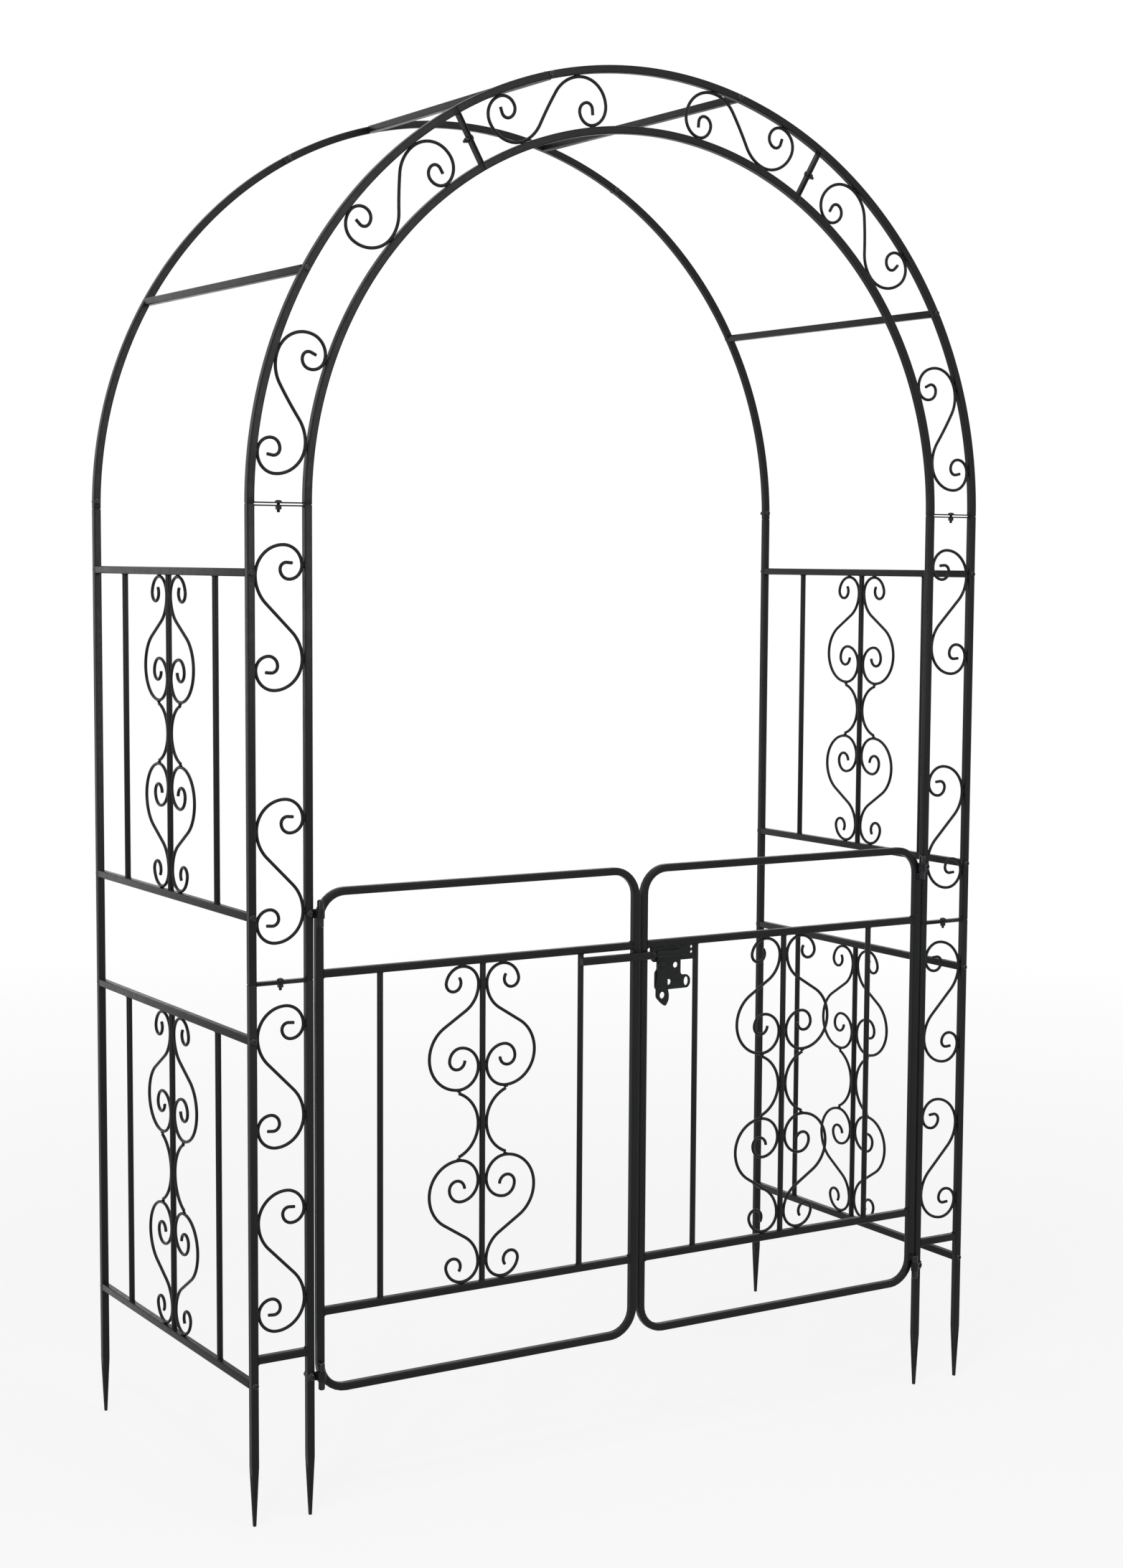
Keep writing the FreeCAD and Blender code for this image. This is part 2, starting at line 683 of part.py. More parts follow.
lower_middle = (size("bottom_rung_height") + half_tube + joint - strip) / 2
upper_middle = (joint + spring) / 2
for side, sign in SIDES:
    straight_scrolls(f"ladder_scrolls_lower_{side}", sign, lower_middle, size("lower_scroll_pitch"))
    straight_scrolls(f"ladder_scrolls_upper_{side}", sign, upper_middle, size("upper_scroll_pitch"))

half_step = size("hoop_scroll_angle") / 2
HOOP_SCROLLS = {
    "right": ((hoop_joint / 2 - half_step, 1), (hoop_joint / 2 + half_step, 1)),
    "centre": ((90 - half_step, 1), (90 - half_step, -1)),
    "left": ((hoop_joint / 2 - half_step, -1), (hoop_joint / 2 + half_step, -1)),
}
for place, scrolls in HOOP_SCROLLS.items():
    solids = []
    for angle, sign in scrolls:
        points = []
        for u, v in s_path:
            turn = math.radians(angle) + v / rung_x
            points.append((sign * (rung_x + u) * math.cos(turn), spring + (rung_x + u) * math.sin(turn)))
        solids.append(scroll_solid(points, lambda a, b: Vector(a, front_y, b), Y_AXIS * wire))
    shaped(f"hoop_scrolls_{place}", solids)

# Bolts and nuts
bolt_radius = size("bolt_diameter") / 2
frame_bolt = (bolt_radius, size("bolt_head_diameter") / 2, size("bolt_head_height"))
rail_bolt = bolt(*frame_bolt, tube + size("bolt_grip"))
rail_bolts = []
bolt_places = [(sign * outer_x, z) for _, sign in SIDES for z in rail_heights]
bolt_places += [(at.x, at.z) for at in bar_places]
for x, z in bolt_places:
    rail_bolts.append(put(rail_bolt, Vector(x, front_y - half_tube, z), FORWARD))
    rail_bolts.append(put(rail_bolt, Vector(x, rear_y + half_tube, z), BACKWARD))
shaped("rail_bolts", rail_bolts)

nut_height = size("nut_height")
frame_nut = nut(size("nut_width"), nut_height, bolt_radius + size("pivot_play"))
clamp_bolt = bolt(*frame_bolt, 2 * strip + nut_height + size("bolt_tail"))
joint_bolts = []
joint_nuts = []
for angle, centre in CLAMP_PLACES:
    lean = Rotation(Vector(0, -1, 0), angle if angle < 90 else angle - 180)
    away = lean.multVec(Z_AXIS)
    joint_bolts.append(put(clamp_bolt, centre + away * strip, lean))
    joint_nuts.append(put(frame_nut, centre - away * (strip + nut_height), lean))
pin_bolt = bolt(*frame_bolt, tube + nut_height + size("bolt_tail"))
rear_pins = [(sign * outer_x, pin_height) for _, sign in SIDES]
rear_pins += [(on_hoop(outer_x, a, 0).x, on_hoop(outer_x, a, 0).z) for a in PIN_ANGLES["centre"]]
for x, z in rear_pins:
    joint_bolts.append(put(pin_bolt, Vector(x, rear_y - half_tube, z), FORWARD))
    joint_nuts.append(put(frame_nut, Vector(x, rear_y + half_tube, z), BACKWARD))
shaped("joint_bolts", joint_bolts)
shaped("joint_nuts", joint_nuts)

# Hinges
strap = size("strap_thickness")
hinge_radius = size("hinge_bolt_diameter") / 2
hinge_bolt = bolt(
    hinge_radius,
    size("hinge_head_diameter") / 2,
    size("hinge_head_height"),
    strap + tube + size("hinge_nut_height") + size("bolt_tail"),
)
hinge_nut = nut(size("hinge_nut_width"), size("hinge_nut_height"), hinge_radius + size("pivot_play"))
hinge_bolts = []
hinge_nuts = []
for side, sign in SIDES:
    straps = []
    for level, z in zip(("lower", "upper"), hinge_heights):
        label = f"strap_{level}_{side}"
        plate = block(
            label + "_plate",
            "dims.tube_side + dims.strap_step",
            "dims.strap_thickness",
            "dims.strap_height",
            (sign * (inner_x - size("strap_step") / 2), front_y - half_tube - strap / 2, z),
        )
        arm_length = size("hinge_side_gap") + half_tube - size("strap_step") / 2 - size("pivot_offset")
        arm = block(
            label + "_arm",
            "dims.hinge_side_gap + dims.tube_side / 2 - dims.strap_step / 2 - dims.pivot_offset",
            "dims.strap_thickness",
            "dims.strap_height",
            (
                sign * (pivot_x + arm_length / 2),
                front_y - half_tube - size("strap_standoff") - strap / 2,
                z,
            ),
        )
        foot = z - size("strap_height") / 2
        eye = add(
            "Part::Prism",
            label + "_eye",
            {
                "Polygon": "dims.eye_flats",
                "Circumradius": "dims.pivot_diameter / 2 + dims.pivot_play + dims.strap_thickness",
                "Height": "dims.strap_height",
            },
            (sign * pivot_x, pivot_y, foot),
        )
        bore = add(
            "Part::Cylinder",
            label + "_bore",
            {"Radius": "dims.pivot_diameter / 2 + dims.pivot_play", "Height": "dims.strap_height + 2"},
            (sign * pivot_x, pivot_y, foot - 1),
        )
        hole = bolt_hole(label + "_hole", sign * inner_x, z, HINGE_HOLE, y=front_y - half_tube)
        straps.append(cut(label, join(label + "_whole", [plate, arm, eye]), [bore, hole]))
        hinge_bolts.append(
            put(hinge_bolt, Vector(sign * inner_x, front_y - half_tube - strap, z), FORWARD)
        )
        hinge_nuts.append(put(hinge_nut, Vector(sign * inner_x, front_y + half_tube, z), BACKWARD))
    group(f"hinge_straps_{side}", straps)
shaped("hinge_bolts", hinge_bolts)
shaped("hinge_nuts", hinge_nuts)


# Gate leaves
def sketch(body, name, role, depth, outlines, circles=()):
    """A sketch of closed outlines, each corner joined, on a plane parallel to an origin plane."""
    drawing = body.newObject("Sketcher::SketchObject", name)
    plane = next(feature for feature in body.Origin.OriginFeatures if feature.Role == role)
    drawing.AttachmentSupport = [(plane, "")]
    drawing.MapMode = "FlatFace"
    drawing.AttachmentOffset = Placement(Vector(0, 0, depth), UP)
    for outline in outlines:
        corners = [Vector(a, b, 0) for a, b in outline]
        first = drawing.GeometryCount
        for start, end in zip(corners, corners[1:] + corners[:1]):
            drawing.addGeometry(Part.LineSegment(start, end), False)
        for i in range(len(corners)):
            following = first + (i + 1) % len(corners)
            drawing.addConstraint(Sketcher.Constraint("Coincident", first + i, 2, following, 1))
    for a, b, radius in circles:
        drawing.addGeometry(Part.Circle(Vector(a, b, 0), Vector(0, 0, 1), radius), False)
    return drawing


def rectangle(width, height, centre):
    """The corners of an upright rectangle."""
    a, b = centre
    return [
        (a + i * width / 2, b + j * height / 2) for i, j in ((-1, -1), (1, -1), (1, 1), (-1, 1))
    ]


def gate_frame(name, centre):
    """One tube bent round into a closed frame: a pad of two outlines, then its bends."""
    body = document.addObject("PartDesign::Body", name)
    outline = sketch(
        body,
        name + "_outline",
        "XZ_Plane",
        -front_y,
        (
            rectangle(leaf_width + tube, gate_height + tube, centre),
            rectangle(leaf_width - tube, gate_height - tube, centre),
        ),
    )
    bends = body.newObject("PartDesign::Pad", name + "_square")
    bends.Profile = outline
    bends.setExpression("Length", "dims.tube_side")
    bends.Midplane = True
    document.recompute()
    for place, reach, radius in (
        ("inner", -half_tube, "dims.gate_corner_radius - dims.tube_side / 2"),
        ("outer", half_tube, "dims.gate_corner_radius + dims.tube_side / 2"),
    ):
        edges = [
            f"Edge{i}"
            for i, edge in enumerate(bends.Shape.Edges, start=1)
            if edge.BoundBox.YLength > half_tube
            and abs(abs(edge.CenterOfMass.x - centre[0]) - leaf_width / 2 - reach) < 1
            and abs(abs(edge.CenterOfMass.z - centre[1]) - gate_height / 2 - reach) < 1
        ]
        rounded = body.newObject("PartDesign::Fillet", f"{name}_{place}_bends")
        rounded.Base = (bends, edges)
        rounded.setExpression("Radius", radius)
        body.Tip = rounded
        document.recompute()
        bends = rounded
    return node(name, body)


gate_middle = (size("gate_top") + size("gate_bottom")) / 2
gate_height = size("gate_top") - size("gate_bottom")
leaf_width = stile_outer_x - stile_inner_x
for side, sign in SIDES:
    gate_frame(f"gate_frame_{side}", (sign * leaf_centre_x, gate_middle))
    rails = []
    for level, z in zip(("lower", "upper"), gate_rail_heights):
        rail = add(
            "Part::Box",
            f"leaf_{side}_rail_{level}",
            {"Width": "dims.tube_side", "Height": "dims.tube_side"},
            (sign * leaf_centre_x - (leaf_width - tube) / 2, front_y - half_tube, z - half_tube),
        )
        rail.Length = leaf_width - tube
        rails.append(rail)
    group(f"gate_rails_{side}", rails)
    pickets = []
    for step in (-1, 0, 1):
        picket_x = sign * leaf_centre_x + step * size("gate_picket_pitch")
        picket = add(
            "Part::Prism",
            f"leaf_{side}_picket_{step + 1}",
            {
                "Polygon": "dims.picket_flats",
                "Circumradius": "dims.picket_diameter / 2",
                "Height": "dims.gate_upper_rail - dims.gate_lower_rail - dims.tube_side",
            },
            (picket_x, front_y, size("gate_lower_rail") + half_tube),
        )
        pickets.append(picket)
    group(f"gate_pickets_{side}", pickets)
    hearts = heart_scrolls(
        size("gate_upper_rail") - half_tube,
        size("gate_lower_rail") + half_tube,
        sign * leaf_centre_x,
        lambda a, b: Vector(a, front_y, b),
        Y_AXIS * wire,
    )
    shaped(f"gate_scrolls_{side}", hearts)
    pivots = []
    for level, z, inward in (("lower", hinge_heights[0], 1), ("upper", hinge_heights[1], -1)):
        label = f"pivot_{level}_{side}"
        pivot_bar = add(
            "Part::Cylinder",
            label + "_bar",
            {"Radius": "dims.pivot_diameter / 2", "Height": "dims.pivot_length"},
            (sign * pivot_x, pivot_y, z - size("pivot_length") / 2),
        )
        lug_height = (size("pivot_length") - size("strap_height")) / 2 - 1
        lug_depth = front_y - half_tube - pivot_y
        lug = document.addObject("Part::Box", label + "_lug")
        lug.Length = pivot_radius
        lug.Width = lug_depth
        lug.Height = lug_height
        lug_z = z + inward * (size("strap_height") / 2 + 1 + lug_height / 2) - lug_height / 2
        lug_x = sign * (pivot_x - size("pivot_offset") / 2)
        lug.Placement = Placement(Vector(lug_x - pivot_radius / 2, pivot_y, lug_z), UP)
        pivots.append(join(label, [pivot_bar, lug]))
    group(f"gate_pivots_{side}", pivots)

# Latch: striker bar on the left leaf, latch with its tongue on the right leaf
striker_y = front_y - half_tube - size("striker_standoff") - half_tube
striker_z = size("striker_height")
striker_tube = block(
    "striker_tube",
    "dims.striker_start + dims.striker_end",
    "dims.tube_side",
    "dims.tube_side",
    ((size("striker_end") - size("striker_start")) / 2, striker_y, striker_z),
)
striker_pad = block(
    "striker_pad",
    "dims.tube_side",
    "dims.striker_standoff + 1",
    "dims.tube_side",
    (-stile_inner_x, front_y - half_tube - (size("striker_standoff") + 1) / 2, striker_z),
)
striker_nose = add(
    "Part::Prism",
    "striker_nose",
    {"Polygon": "dims.picket_flats", "Circumradius": "dims.nose_diameter / 2", "Height": "dims.nose_length"},
    (size("striker_end"), striker_y, striker_z),
    Rotation(Y_AXIS, 90),
)
node("striker_bar", join("striker_bar_whole", [striker_tube, striker_pad, striker_nose]))

plate = size("latch_plate_thickness")
latch_front = front_y - size("latch_setback")
latch_top = size("gate_upper_rail") - half_tube
latch_left = stile_inner_x + half_tube
latch_right = leaf_centre_x - size("gate_picket_pitch") - picket_radius
strip_foot = latch_top - size("latch_strip_depth")
rivet_x = latch_left + size("rivet_inset")
rivet_z = strip_foot - size("rivet_drop")
strip_hole_x = latch_right - size("strip_hole_inset")
strip_hole_z = latch_top - size("strip_hole_inset")


def flat_hole(x, z, width, height, flats):
    """A round or oval outline of the given number of flats, which touch its true curve."""
    step = 360 / flats
    grow = 1 / math.cos(math.radians(step / 2))
    return [
        (
            x + grow * width / 2 * math.cos(math.radians(step * i)),
            z + grow * height / 2 * math.sin(math.radians(step * i)),
        )
        for i in range(int(flats))
    ]


def plate_pad(body, name, outlines, front, thickness, circles=()):
    """A plate of the outlines with its front face at y = front; the size is an expression."""
    feature = body.newObject("PartDesign::Pad", name)
    feature.Profile = sketch(body, name + "_outline", "XZ_Plane", -front, outlines, circles)
    feature.setExpression("Length", thickness)
    feature.Reversed = True
    body.Tip = feature
    document.recompute()
    return feature


hole = size("latch_hole_diameter")
strip_hole = size("strip_hole_diameter")
flats = size("picket_flats")
rivet = size("latch_rivet_diameter")
rivet_flats = size("eye_flats")
housing = document.addObject("PartDesign::Body", "latch_housing")
plate_pad(
    housing,
    "latch_strip",
    (
        (
            (latch_left, latch_top),
            (latch_left, strip_foot + 8),
            (latch_left + 12, strip_foot),
            (latch_right, strip_foot),
            (latch_right, latch_top),
        ),
        flat_hole(strip_hole_x, strip_hole_z, strip_hole, strip_hole, flats),
        flat_hole(strip_hole_x, strip_hole_z - size("strip_hole_pitch"), strip_hole, strip_hole, flats),
    ),
    latch_front,
    "dims.latch_plate_thickness",
)
lock_left = latch_left + size("lock_inset")
lock_right = lock_left + size("lock_width")
lock_foot = strip_foot - size("lock_drop")
tab_right = lock_right + size("tab_reach")
tab_top = lock_foot + size("tab_height")
plate_pad(
    housing,
    "latch_lock_plate",
    (
        (
            (lock_left, latch_top - 6),
            (lock_left, strip_foot - 12),
            (lock_left - 4, strip_foot - 16),
            (lock_left - 4, lock_foot + 4),
            (lock_left, lock_foot),
            (tab_right - 5, lock_foot),
            (tab_right, lock_foot + 6),
            (tab_right, tab_top - 6),
            (tab_right - 6, tab_top),
            (lock_right + 3, tab_top),
            (lock_right, tab_top + 3),
            (lock_right, latch_top - 6),
        ),
        flat_hole(lock_right - 23, lock_foot + 12, hole, hole, flats),
        flat_hole(tab_right - 8, (lock_foot + tab_top) / 2, 9, 13, flats),
    ),
    latch_front - plate,
    "dims.latch_plate_thickness",
    ((lock_right - 10, strip_foot - 7, hole / 2),),
)
tongue_front = latch_front - plate - size("latch_play") - plate
plate_pad(
    housing,
    "latch_rivet",
    (),
    tongue_front - size("latch_play"),
    "dims.latch_plate_thickness + 2 * dims.latch_play",
    ((rivet_x, rivet_z, rivet / 2),),
)
plate_pad(
    housing,
    "latch_rivet_head",
    (flat_hole(rivet_x, rivet_z, rivet + 4, rivet + 4, rivet_flats),),
    tongue_front - size("latch_play") - size("rivet_head_height"),
    "dims.rivet_head_height",
)
node("latch_housing", housing)

tongue = document.addObject("PartDesign::Body", "latch_tongue")
bore_radius = rivet / 2 + size("pivot_play")
tongue_tip = rivet_z - size("tongue_length")
tongue_hole_z = tongue_tip + size("tongue_hole_rise")
plate_pad(
    tongue,
    "tongue_plate",
    (
        (
            (rivet_x - 9, rivet_z + 6),
            (rivet_x - 4, rivet_z + 8),
            (rivet_x + 6, rivet_z + 8),
            (rivet_x + 9, rivet_z + 3),
            (rivet_x + 10, tongue_tip + 30),
            (rivet_x + 12, tongue_tip + 20),
            (rivet_x + 11, tongue_tip + 10),
            (rivet_x + 6, tongue_tip),
            (rivet_x - 3, tongue_tip + 8),
            (rivet_x - 10, tongue_tip + 18),
        ),
        flat_hole(rivet_x - 0.5, tongue_hole_z, 10, 11, flats),
    ),
    tongue_front,
    "dims.latch_plate_thickness",
    ((rivet_x, rivet_z, bore_radius),),
)
node("latch_tongue", tongue)

# Check every object, then write every finished piece
document.recompute()
for item in document.Objects:
    if "Invalid" in item.State or "Error" in item.State:
        raise RuntimeError(f"{item.Label} did not compute: {item.State}")
os.makedirs("parts", exist_ok=True)
for name, item in nodes.items():
    shape = item.Shape
    if shape.isNull() or not shape.isValid() or not shape.Solids:
        raise RuntimeError(f"{name} is not a valid solid")
for name, item in nodes.items():
    item.Shape.exportStep(f"parts/{name}.step")
print(len(nodes), "nodes written")
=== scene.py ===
# %% [markdown]
# # A garden arch with a double gate
# The real object is a flat-packed steel arch for a garden path. Square tube of 12 mm is bent
# into hoops and gate frames, 5 mm wire is bent cold into scrolls, and everything is welded,
# shot-blasted and powder coated satin black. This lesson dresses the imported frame: each
# tube, wire, bolt and plate is worked out as a surface on a grid of two parameters.

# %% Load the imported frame
import math

import bmesh
import bpy
import numpy as np
from mathutils import Matrix, Vector


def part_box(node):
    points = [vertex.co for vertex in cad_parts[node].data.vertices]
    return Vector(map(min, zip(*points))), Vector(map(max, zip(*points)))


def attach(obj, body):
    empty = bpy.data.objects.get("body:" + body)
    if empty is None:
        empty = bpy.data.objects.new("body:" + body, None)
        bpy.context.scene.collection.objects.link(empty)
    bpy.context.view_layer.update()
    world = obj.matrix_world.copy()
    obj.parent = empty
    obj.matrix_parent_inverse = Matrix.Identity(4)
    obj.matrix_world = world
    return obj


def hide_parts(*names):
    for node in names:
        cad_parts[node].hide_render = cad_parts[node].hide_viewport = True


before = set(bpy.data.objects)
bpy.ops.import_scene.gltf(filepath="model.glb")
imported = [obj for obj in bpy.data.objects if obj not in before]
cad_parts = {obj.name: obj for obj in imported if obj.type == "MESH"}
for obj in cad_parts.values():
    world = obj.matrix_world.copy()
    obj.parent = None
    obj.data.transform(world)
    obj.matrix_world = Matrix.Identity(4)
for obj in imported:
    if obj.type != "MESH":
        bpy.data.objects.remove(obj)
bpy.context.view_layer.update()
print("nodes:", len(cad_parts))

# %% [markdown]
# ## Sizes
# The frame is fixed, so the sizes of its pieces are repeated here in millimetres. Places that
# the frame can tell are read from it: a post's box gives the centre line of its tube.

# %% Sizes in millimetres
METRE = 0.001
tube = 12.0
half_tube = tube / 2
wire = 5.0
picket = 9.5
weld_gap = 0.2


def middle_mm(name):
    """The middle of a node's box, in millimetres."""
    return np.mean(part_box(name), axis=0) / METRE


outer_x, front_y, _ = middle_mm("upper_post_outer_right")
inner_x = middle_mm("upper_post_inner_right")[0]
rear_y = middle_mm("rear_hoop")[1]
middle_y = (front_y + rear_y) / 2
rung_x = (outer_x + inner_x) / 2
spring = 1520.0
joint = 819.0
gap = 0.6
HOOP_JOINTS = (60.0, 120.0)
SIDES = (("left", -1), ("right", 1))
PANELS = {"lower": (216.0, 735.0), "upper": (918.0, 1421.0)}
rail_heights = [z for panel in PANELS.values() for z in panel]
X_AXIS, Y_AXIS, Z_AXIS = np.eye(3)
print("posts at x", round(outer_x, 2), "and", round(inner_x, 2), "front y", round(front_y, 2))

# %% [markdown]
# ## From arrays to a mesh
# A surface here is three arrays: its points, the corners of its faces one after another, and
# how many corners each face has. Arrays stack, so a piece of many parts is one mesh, put into
# Blender in four calls.

# %% Stack surfaces into a piece
pieces = []


def points_of(x, y, z):
    """Points from three coordinates, each of them an array or one number for all."""
    return np.stack(np.broadcast_arrays(x, y, z), axis=-1)


def unit(vectors):
    """Vectors over their lengths."""
    return vectors / np.linalg.norm(vectors, axis=-1, keepdims=True)


def surface(grid, closed, flip=False):
    """A grid of points with four-sided faces, whose columns wrap round.

    So do its rows where it is closed, or else they end in flat caps. A flip turns the faces over.
    """
    rows, columns = grid.shape[:2]
    row = np.arange(rows if closed else rows - 1)[:, None]
    here, after = row * columns, (row + 1) % rows * columns
    column = np.arange(columns)
    beside = (column + 1) % columns
    quads = np.stack([here + column, after + column, after + beside, here + beside], axis=-1)
    quads = quads.reshape(-1, 4)
    caps = [] if closed else [column, ((rows - 1) * columns + column)[::-1]]
    if flip:
        quads, caps = quads[:, ::-1], [cap[::-1] for cap in caps]
    corners = np.concatenate([quads.reshape(-1), *caps]).astype(np.int32)
    sides = np.concatenate([np.full(len(quads), 4), [len(cap) for cap in caps]]).astype(np.int32)
    return grid.reshape(-1, 3), corners, sides


def add_object(name, data):
    """A new object in the scene."""
    thing = bpy.data.objects.new(name, data)
    bpy.context.scene.collection.objects.link(thing)
    return thing


def make_piece(name, surfaces, coat, node, body="arch_frame", sharp=40):
    """One object from several surfaces, which rides on a body and stands for a node."""
    grids, faces, counts = zip(*surfaces)
    first = np.cumsum([0] + [len(grid) for grid in grids[:-1]])
    points = np.concatenate(grids) * METRE
    corners = np.concatenate([corners + start for corners, start in zip(faces, first)])
    sides = np.concatenate(counts)
    mesh = bpy.data.meshes.new(name)
    mesh.vertices.add(len(points))
    mesh.vertices.foreach_set("co", points.reshape(-1))
    mesh.loops.add(len(corners))
    mesh.loops.foreach_set("vertex_index", corners)
    mesh.polygons.add(len(sides))
    mesh.polygons.foreach_set("loop_start", np.concatenate([[0], np.cumsum(sides)[:-1]]))
    mesh.update(calc_edges=True)
    mesh.validate()
    mesh.polygons.foreach_set("use_smooth", np.ones(len(mesh.polygons), dtype=bool))
    mesh.set_sharp_from_angle(angle=math.radians(sharp))
    mesh.materials.append(coat)
    piece = add_object(name, mesh)
    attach(piece, body)
    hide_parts(node)
    pieces.append(piece)
    return piece


# %% [markdown]
# ## Tube, wire and rod
# A tube is one outline carried along a line, so one function makes posts, hoops, gate frames,
# scrolls and strips. The outline of a rolled tube has rounded corners, where its shade turns
# from that of one flat to the next. Extra points beside each bend keep the flats flat.

# %% Outlines


def rounded(width, height, radius, steps=4):
    """A rounded rectangle, counter-clockwise.

    A quarter circle about each corner's centre, with a point a quarter millimetre along the
    flat on each side of it, so that the shading of the bend does not reach over the flat.
    """
    turn = np.radians(np.linspace(0, 90, steps + 1))
    arc = radius * np.stack([np.cos(turn), np.sin(turn)], axis=1)
    corner = np.concatenate([[[radius, -0.25]], arc, [[-0.25, radius]]])
    corner += (width / 2 - radius, height / 2 - radius)
    mirrored = corner[::-1] * (-1, 1)
    return np.concatenate([corner, mirrored, -corner, -mirrored])


def circle(radius, steps=14):
    """A circle, counter-clockwise: radius times (cos t, sin t)."""
    turn = np.linspace(0, 2 * np.pi, steps, endpoint=False)
    return radius * np.stack([np.cos(turn), np.sin(turn)], axis=1)


TUBE = rounded(tube, tube, 2.0)
WIRE = circle(wire / 2)
print("tube outline:", len(TUBE), "points, wire outline:", len(WIRE))

# %% Carry an outline along a path


def carry(path, normal, outline, scale=1.0, closed=False):
    """A closed surface made by carrying an outline along a path that lies in one plane.

    At a point P of the path, with T along it and N the plane's normal, the outline's point
    (u, v) lands on P + u (T x N) + v N. Where the path bends, u is stretched as in a mitre.
    """
    path = np.asarray(path, dtype=float)
    steps = np.roll(path, -1, axis=0) - path if closed else np.diff(path, axis=0)
    steps = unit(steps)
    ahead = steps if closed else np.concatenate([steps, steps[-1:]])
    behind = np.roll(steps, 1, axis=0) if closed else np.concatenate([steps[:1], steps])
    along = unit(ahead + behind)
    mitre = 1 / np.maximum((along * ahead).sum(axis=1), 0.5)
    across = np.cross(along, normal) * mitre[:, None]
    scale = np.broadcast_to(scale, len(path))[:, None, None]
    shape = np.broadcast_to(outline, (len(path),) + outline.shape[-2:]) * scale
    grid = path[:, None] + shape[..., :1] * across[:, None] + shape[..., 1:] * np.asarray(normal)
    return surface(grid, closed)


def eased(path, half, ease=0.5):
    """A path whose ends are eased, and the scale of the outline at each of its points.

    Towards each end the outline draws in along a quarter circle of radius ease: at an angle f
    from the side it is ease (1 - cos f) smaller and lies ease (1 - sin f) inside the end.
    """
    path = np.asarray(path, dtype=float)
    angle = np.radians([90.0, 60.0, 30.0, 0.0])
    inset = ease * (1 - np.cos(angle))
    back = (ease * (1 - np.sin(angle)))[:, None]
    head = path[0] + back * unit(path[1] - path[0])
    tail = path[-1] + back * unit(path[-2] - path[-1])
    drawn = np.concatenate([inset, np.zeros(len(path) - 2), inset[::-1]])
    return np.concatenate([head, path[1:-1], tail[::-1]]), 1 - drawn / half


def bar(ends, normal, outline=TUBE, half=half_tube, ease=0.5):
    """A straight tube, rod or strip between two points, with eased ends."""
    path, scale = eased(ends, half, ease)
    return carry(path, normal, outline, scale)


# %% Bend a line as a bench bender does


def bend(start, heading, steps, spacing=3.0):
    """Points of a line bent in a plane. A step is (radius, turn in degrees) or (0, length).

    An arc's centre lies one radius to the side that it turns to, and its points are the centre
    plus the radius turned evenly. A run goes its length along the heading.
    """
    at = np.array(start, dtype=float)
    angle = math.radians(heading)
    parts = [at[None]]
    for radius, amount in steps:
        if radius == 0:
            share = np.linspace(0, 1, max(2, math.ceil(amount / spacing)) + 1)[1:, None]
            part = at + share * amount * np.array([math.cos(angle), math.sin(angle)])
        else:
            turn = math.radians(amount)
            side = math.copysign(1, turn)
            count = max(math.ceil(abs(turn) * radius / spacing), math.ceil(abs(amount) / 12))
            centre = at + side * radius * np.array([-math.sin(angle), math.cos(angle)])
            t = angle + np.linspace(0, 1, count + 1)[1:] * turn
            part = centre + side * radius * np.stack([np.sin(t), -np.cos(t)], axis=1)
            angle += turn
        parts.append(part)
        at = part[-1]
    return np.concatenate(parts)


# %% [markdown]
# ## Round parts
# Bolt heads, nuts, pivots and weld rings are turned shapes: a profile of radius and height
# swept round an axis. A radius that also changes with the angle gives a hexagon.

# %% Turn a profile round an axis
ROUND = 24


def turned(radii, heights, centre, axis, steps=ROUND, closed=False):
    """A surface of revolution: centre + height A + radius (B cos t + C sin t).

    A is the axis and B, C are square to it. The profile runs from the bottom outwards and up.
    Radii may be one per row, or a whole array of rows by angles.
    """
    axis = unit(axis)
    second = unit(np.cross(axis, Z_AXIS if abs(axis[2]) < 0.9 else X_AXIS))
    first = np.cross(second, axis)
    turn = np.linspace(0, 2 * np.pi, steps, endpoint=False)
    radii, heights = (
        np.asarray(values, dtype=float).reshape(len(values), -1) * np.ones(steps)
        for values in (radii, heights)
    )
    spoke = np.cos(turn)[:, None] * first + np.sin(turn)[:, None] * second
    grid = centre + heights[..., None] * axis + radii[..., None] * spoke
    return surface(grid, closed, flip=True)


def hexagon(width):
    """The radius of a hexagon at each angle: half the width over the cosine to the nearest flat."""
    turn = np.linspace(0, 360, ROUND, endpoint=False)
    return width / 2 / np.cos(np.radians((turn + 30) % 60 - 30))


def button_head(centre, axis, radius, height):
    """A domed screw head with a hexagon socket, its seat at the centre."""
    rim = 0.2
    dome = np.radians(np.linspace(8, 68, 7))
    radii = np.array([0.05, radius - 0.15, radius, *(radius * np.cos(dome))])
    rise = rim + (height - rim) * np.sin(dome) / np.sin(dome[-1])
    socket = hexagon(radius * 0.62)
    rows = [*(radii[:, None] * np.ones(ROUND)), socket, socket * 0.97, socket * 0.05]
    heights = [0, 0, rim, *rise, height - 0.1, height * 0.5, height * 0.42]
    return turned(rows, heights, centre, axis)


def screw(seat, out, length, head=(5.5, 3.0), radius=2.5, pitch=0.8):
    """A button head that faces out from its seat, and a shank with a thread's ridges behind it."""
    ridges = np.arange(0.2, length - 0.4, pitch / 2)
    cut = 0.28 * (np.arange(len(ridges)) % 2)
    radii = [0.05, radius - 0.3, *(radius - cut), radius - 0.5, 0.05]
    heights = [0, 0.1, *ridges, length, length]
    return [button_head(seat, out, *head), turned(radii, heights, seat, -out, steps=16)]


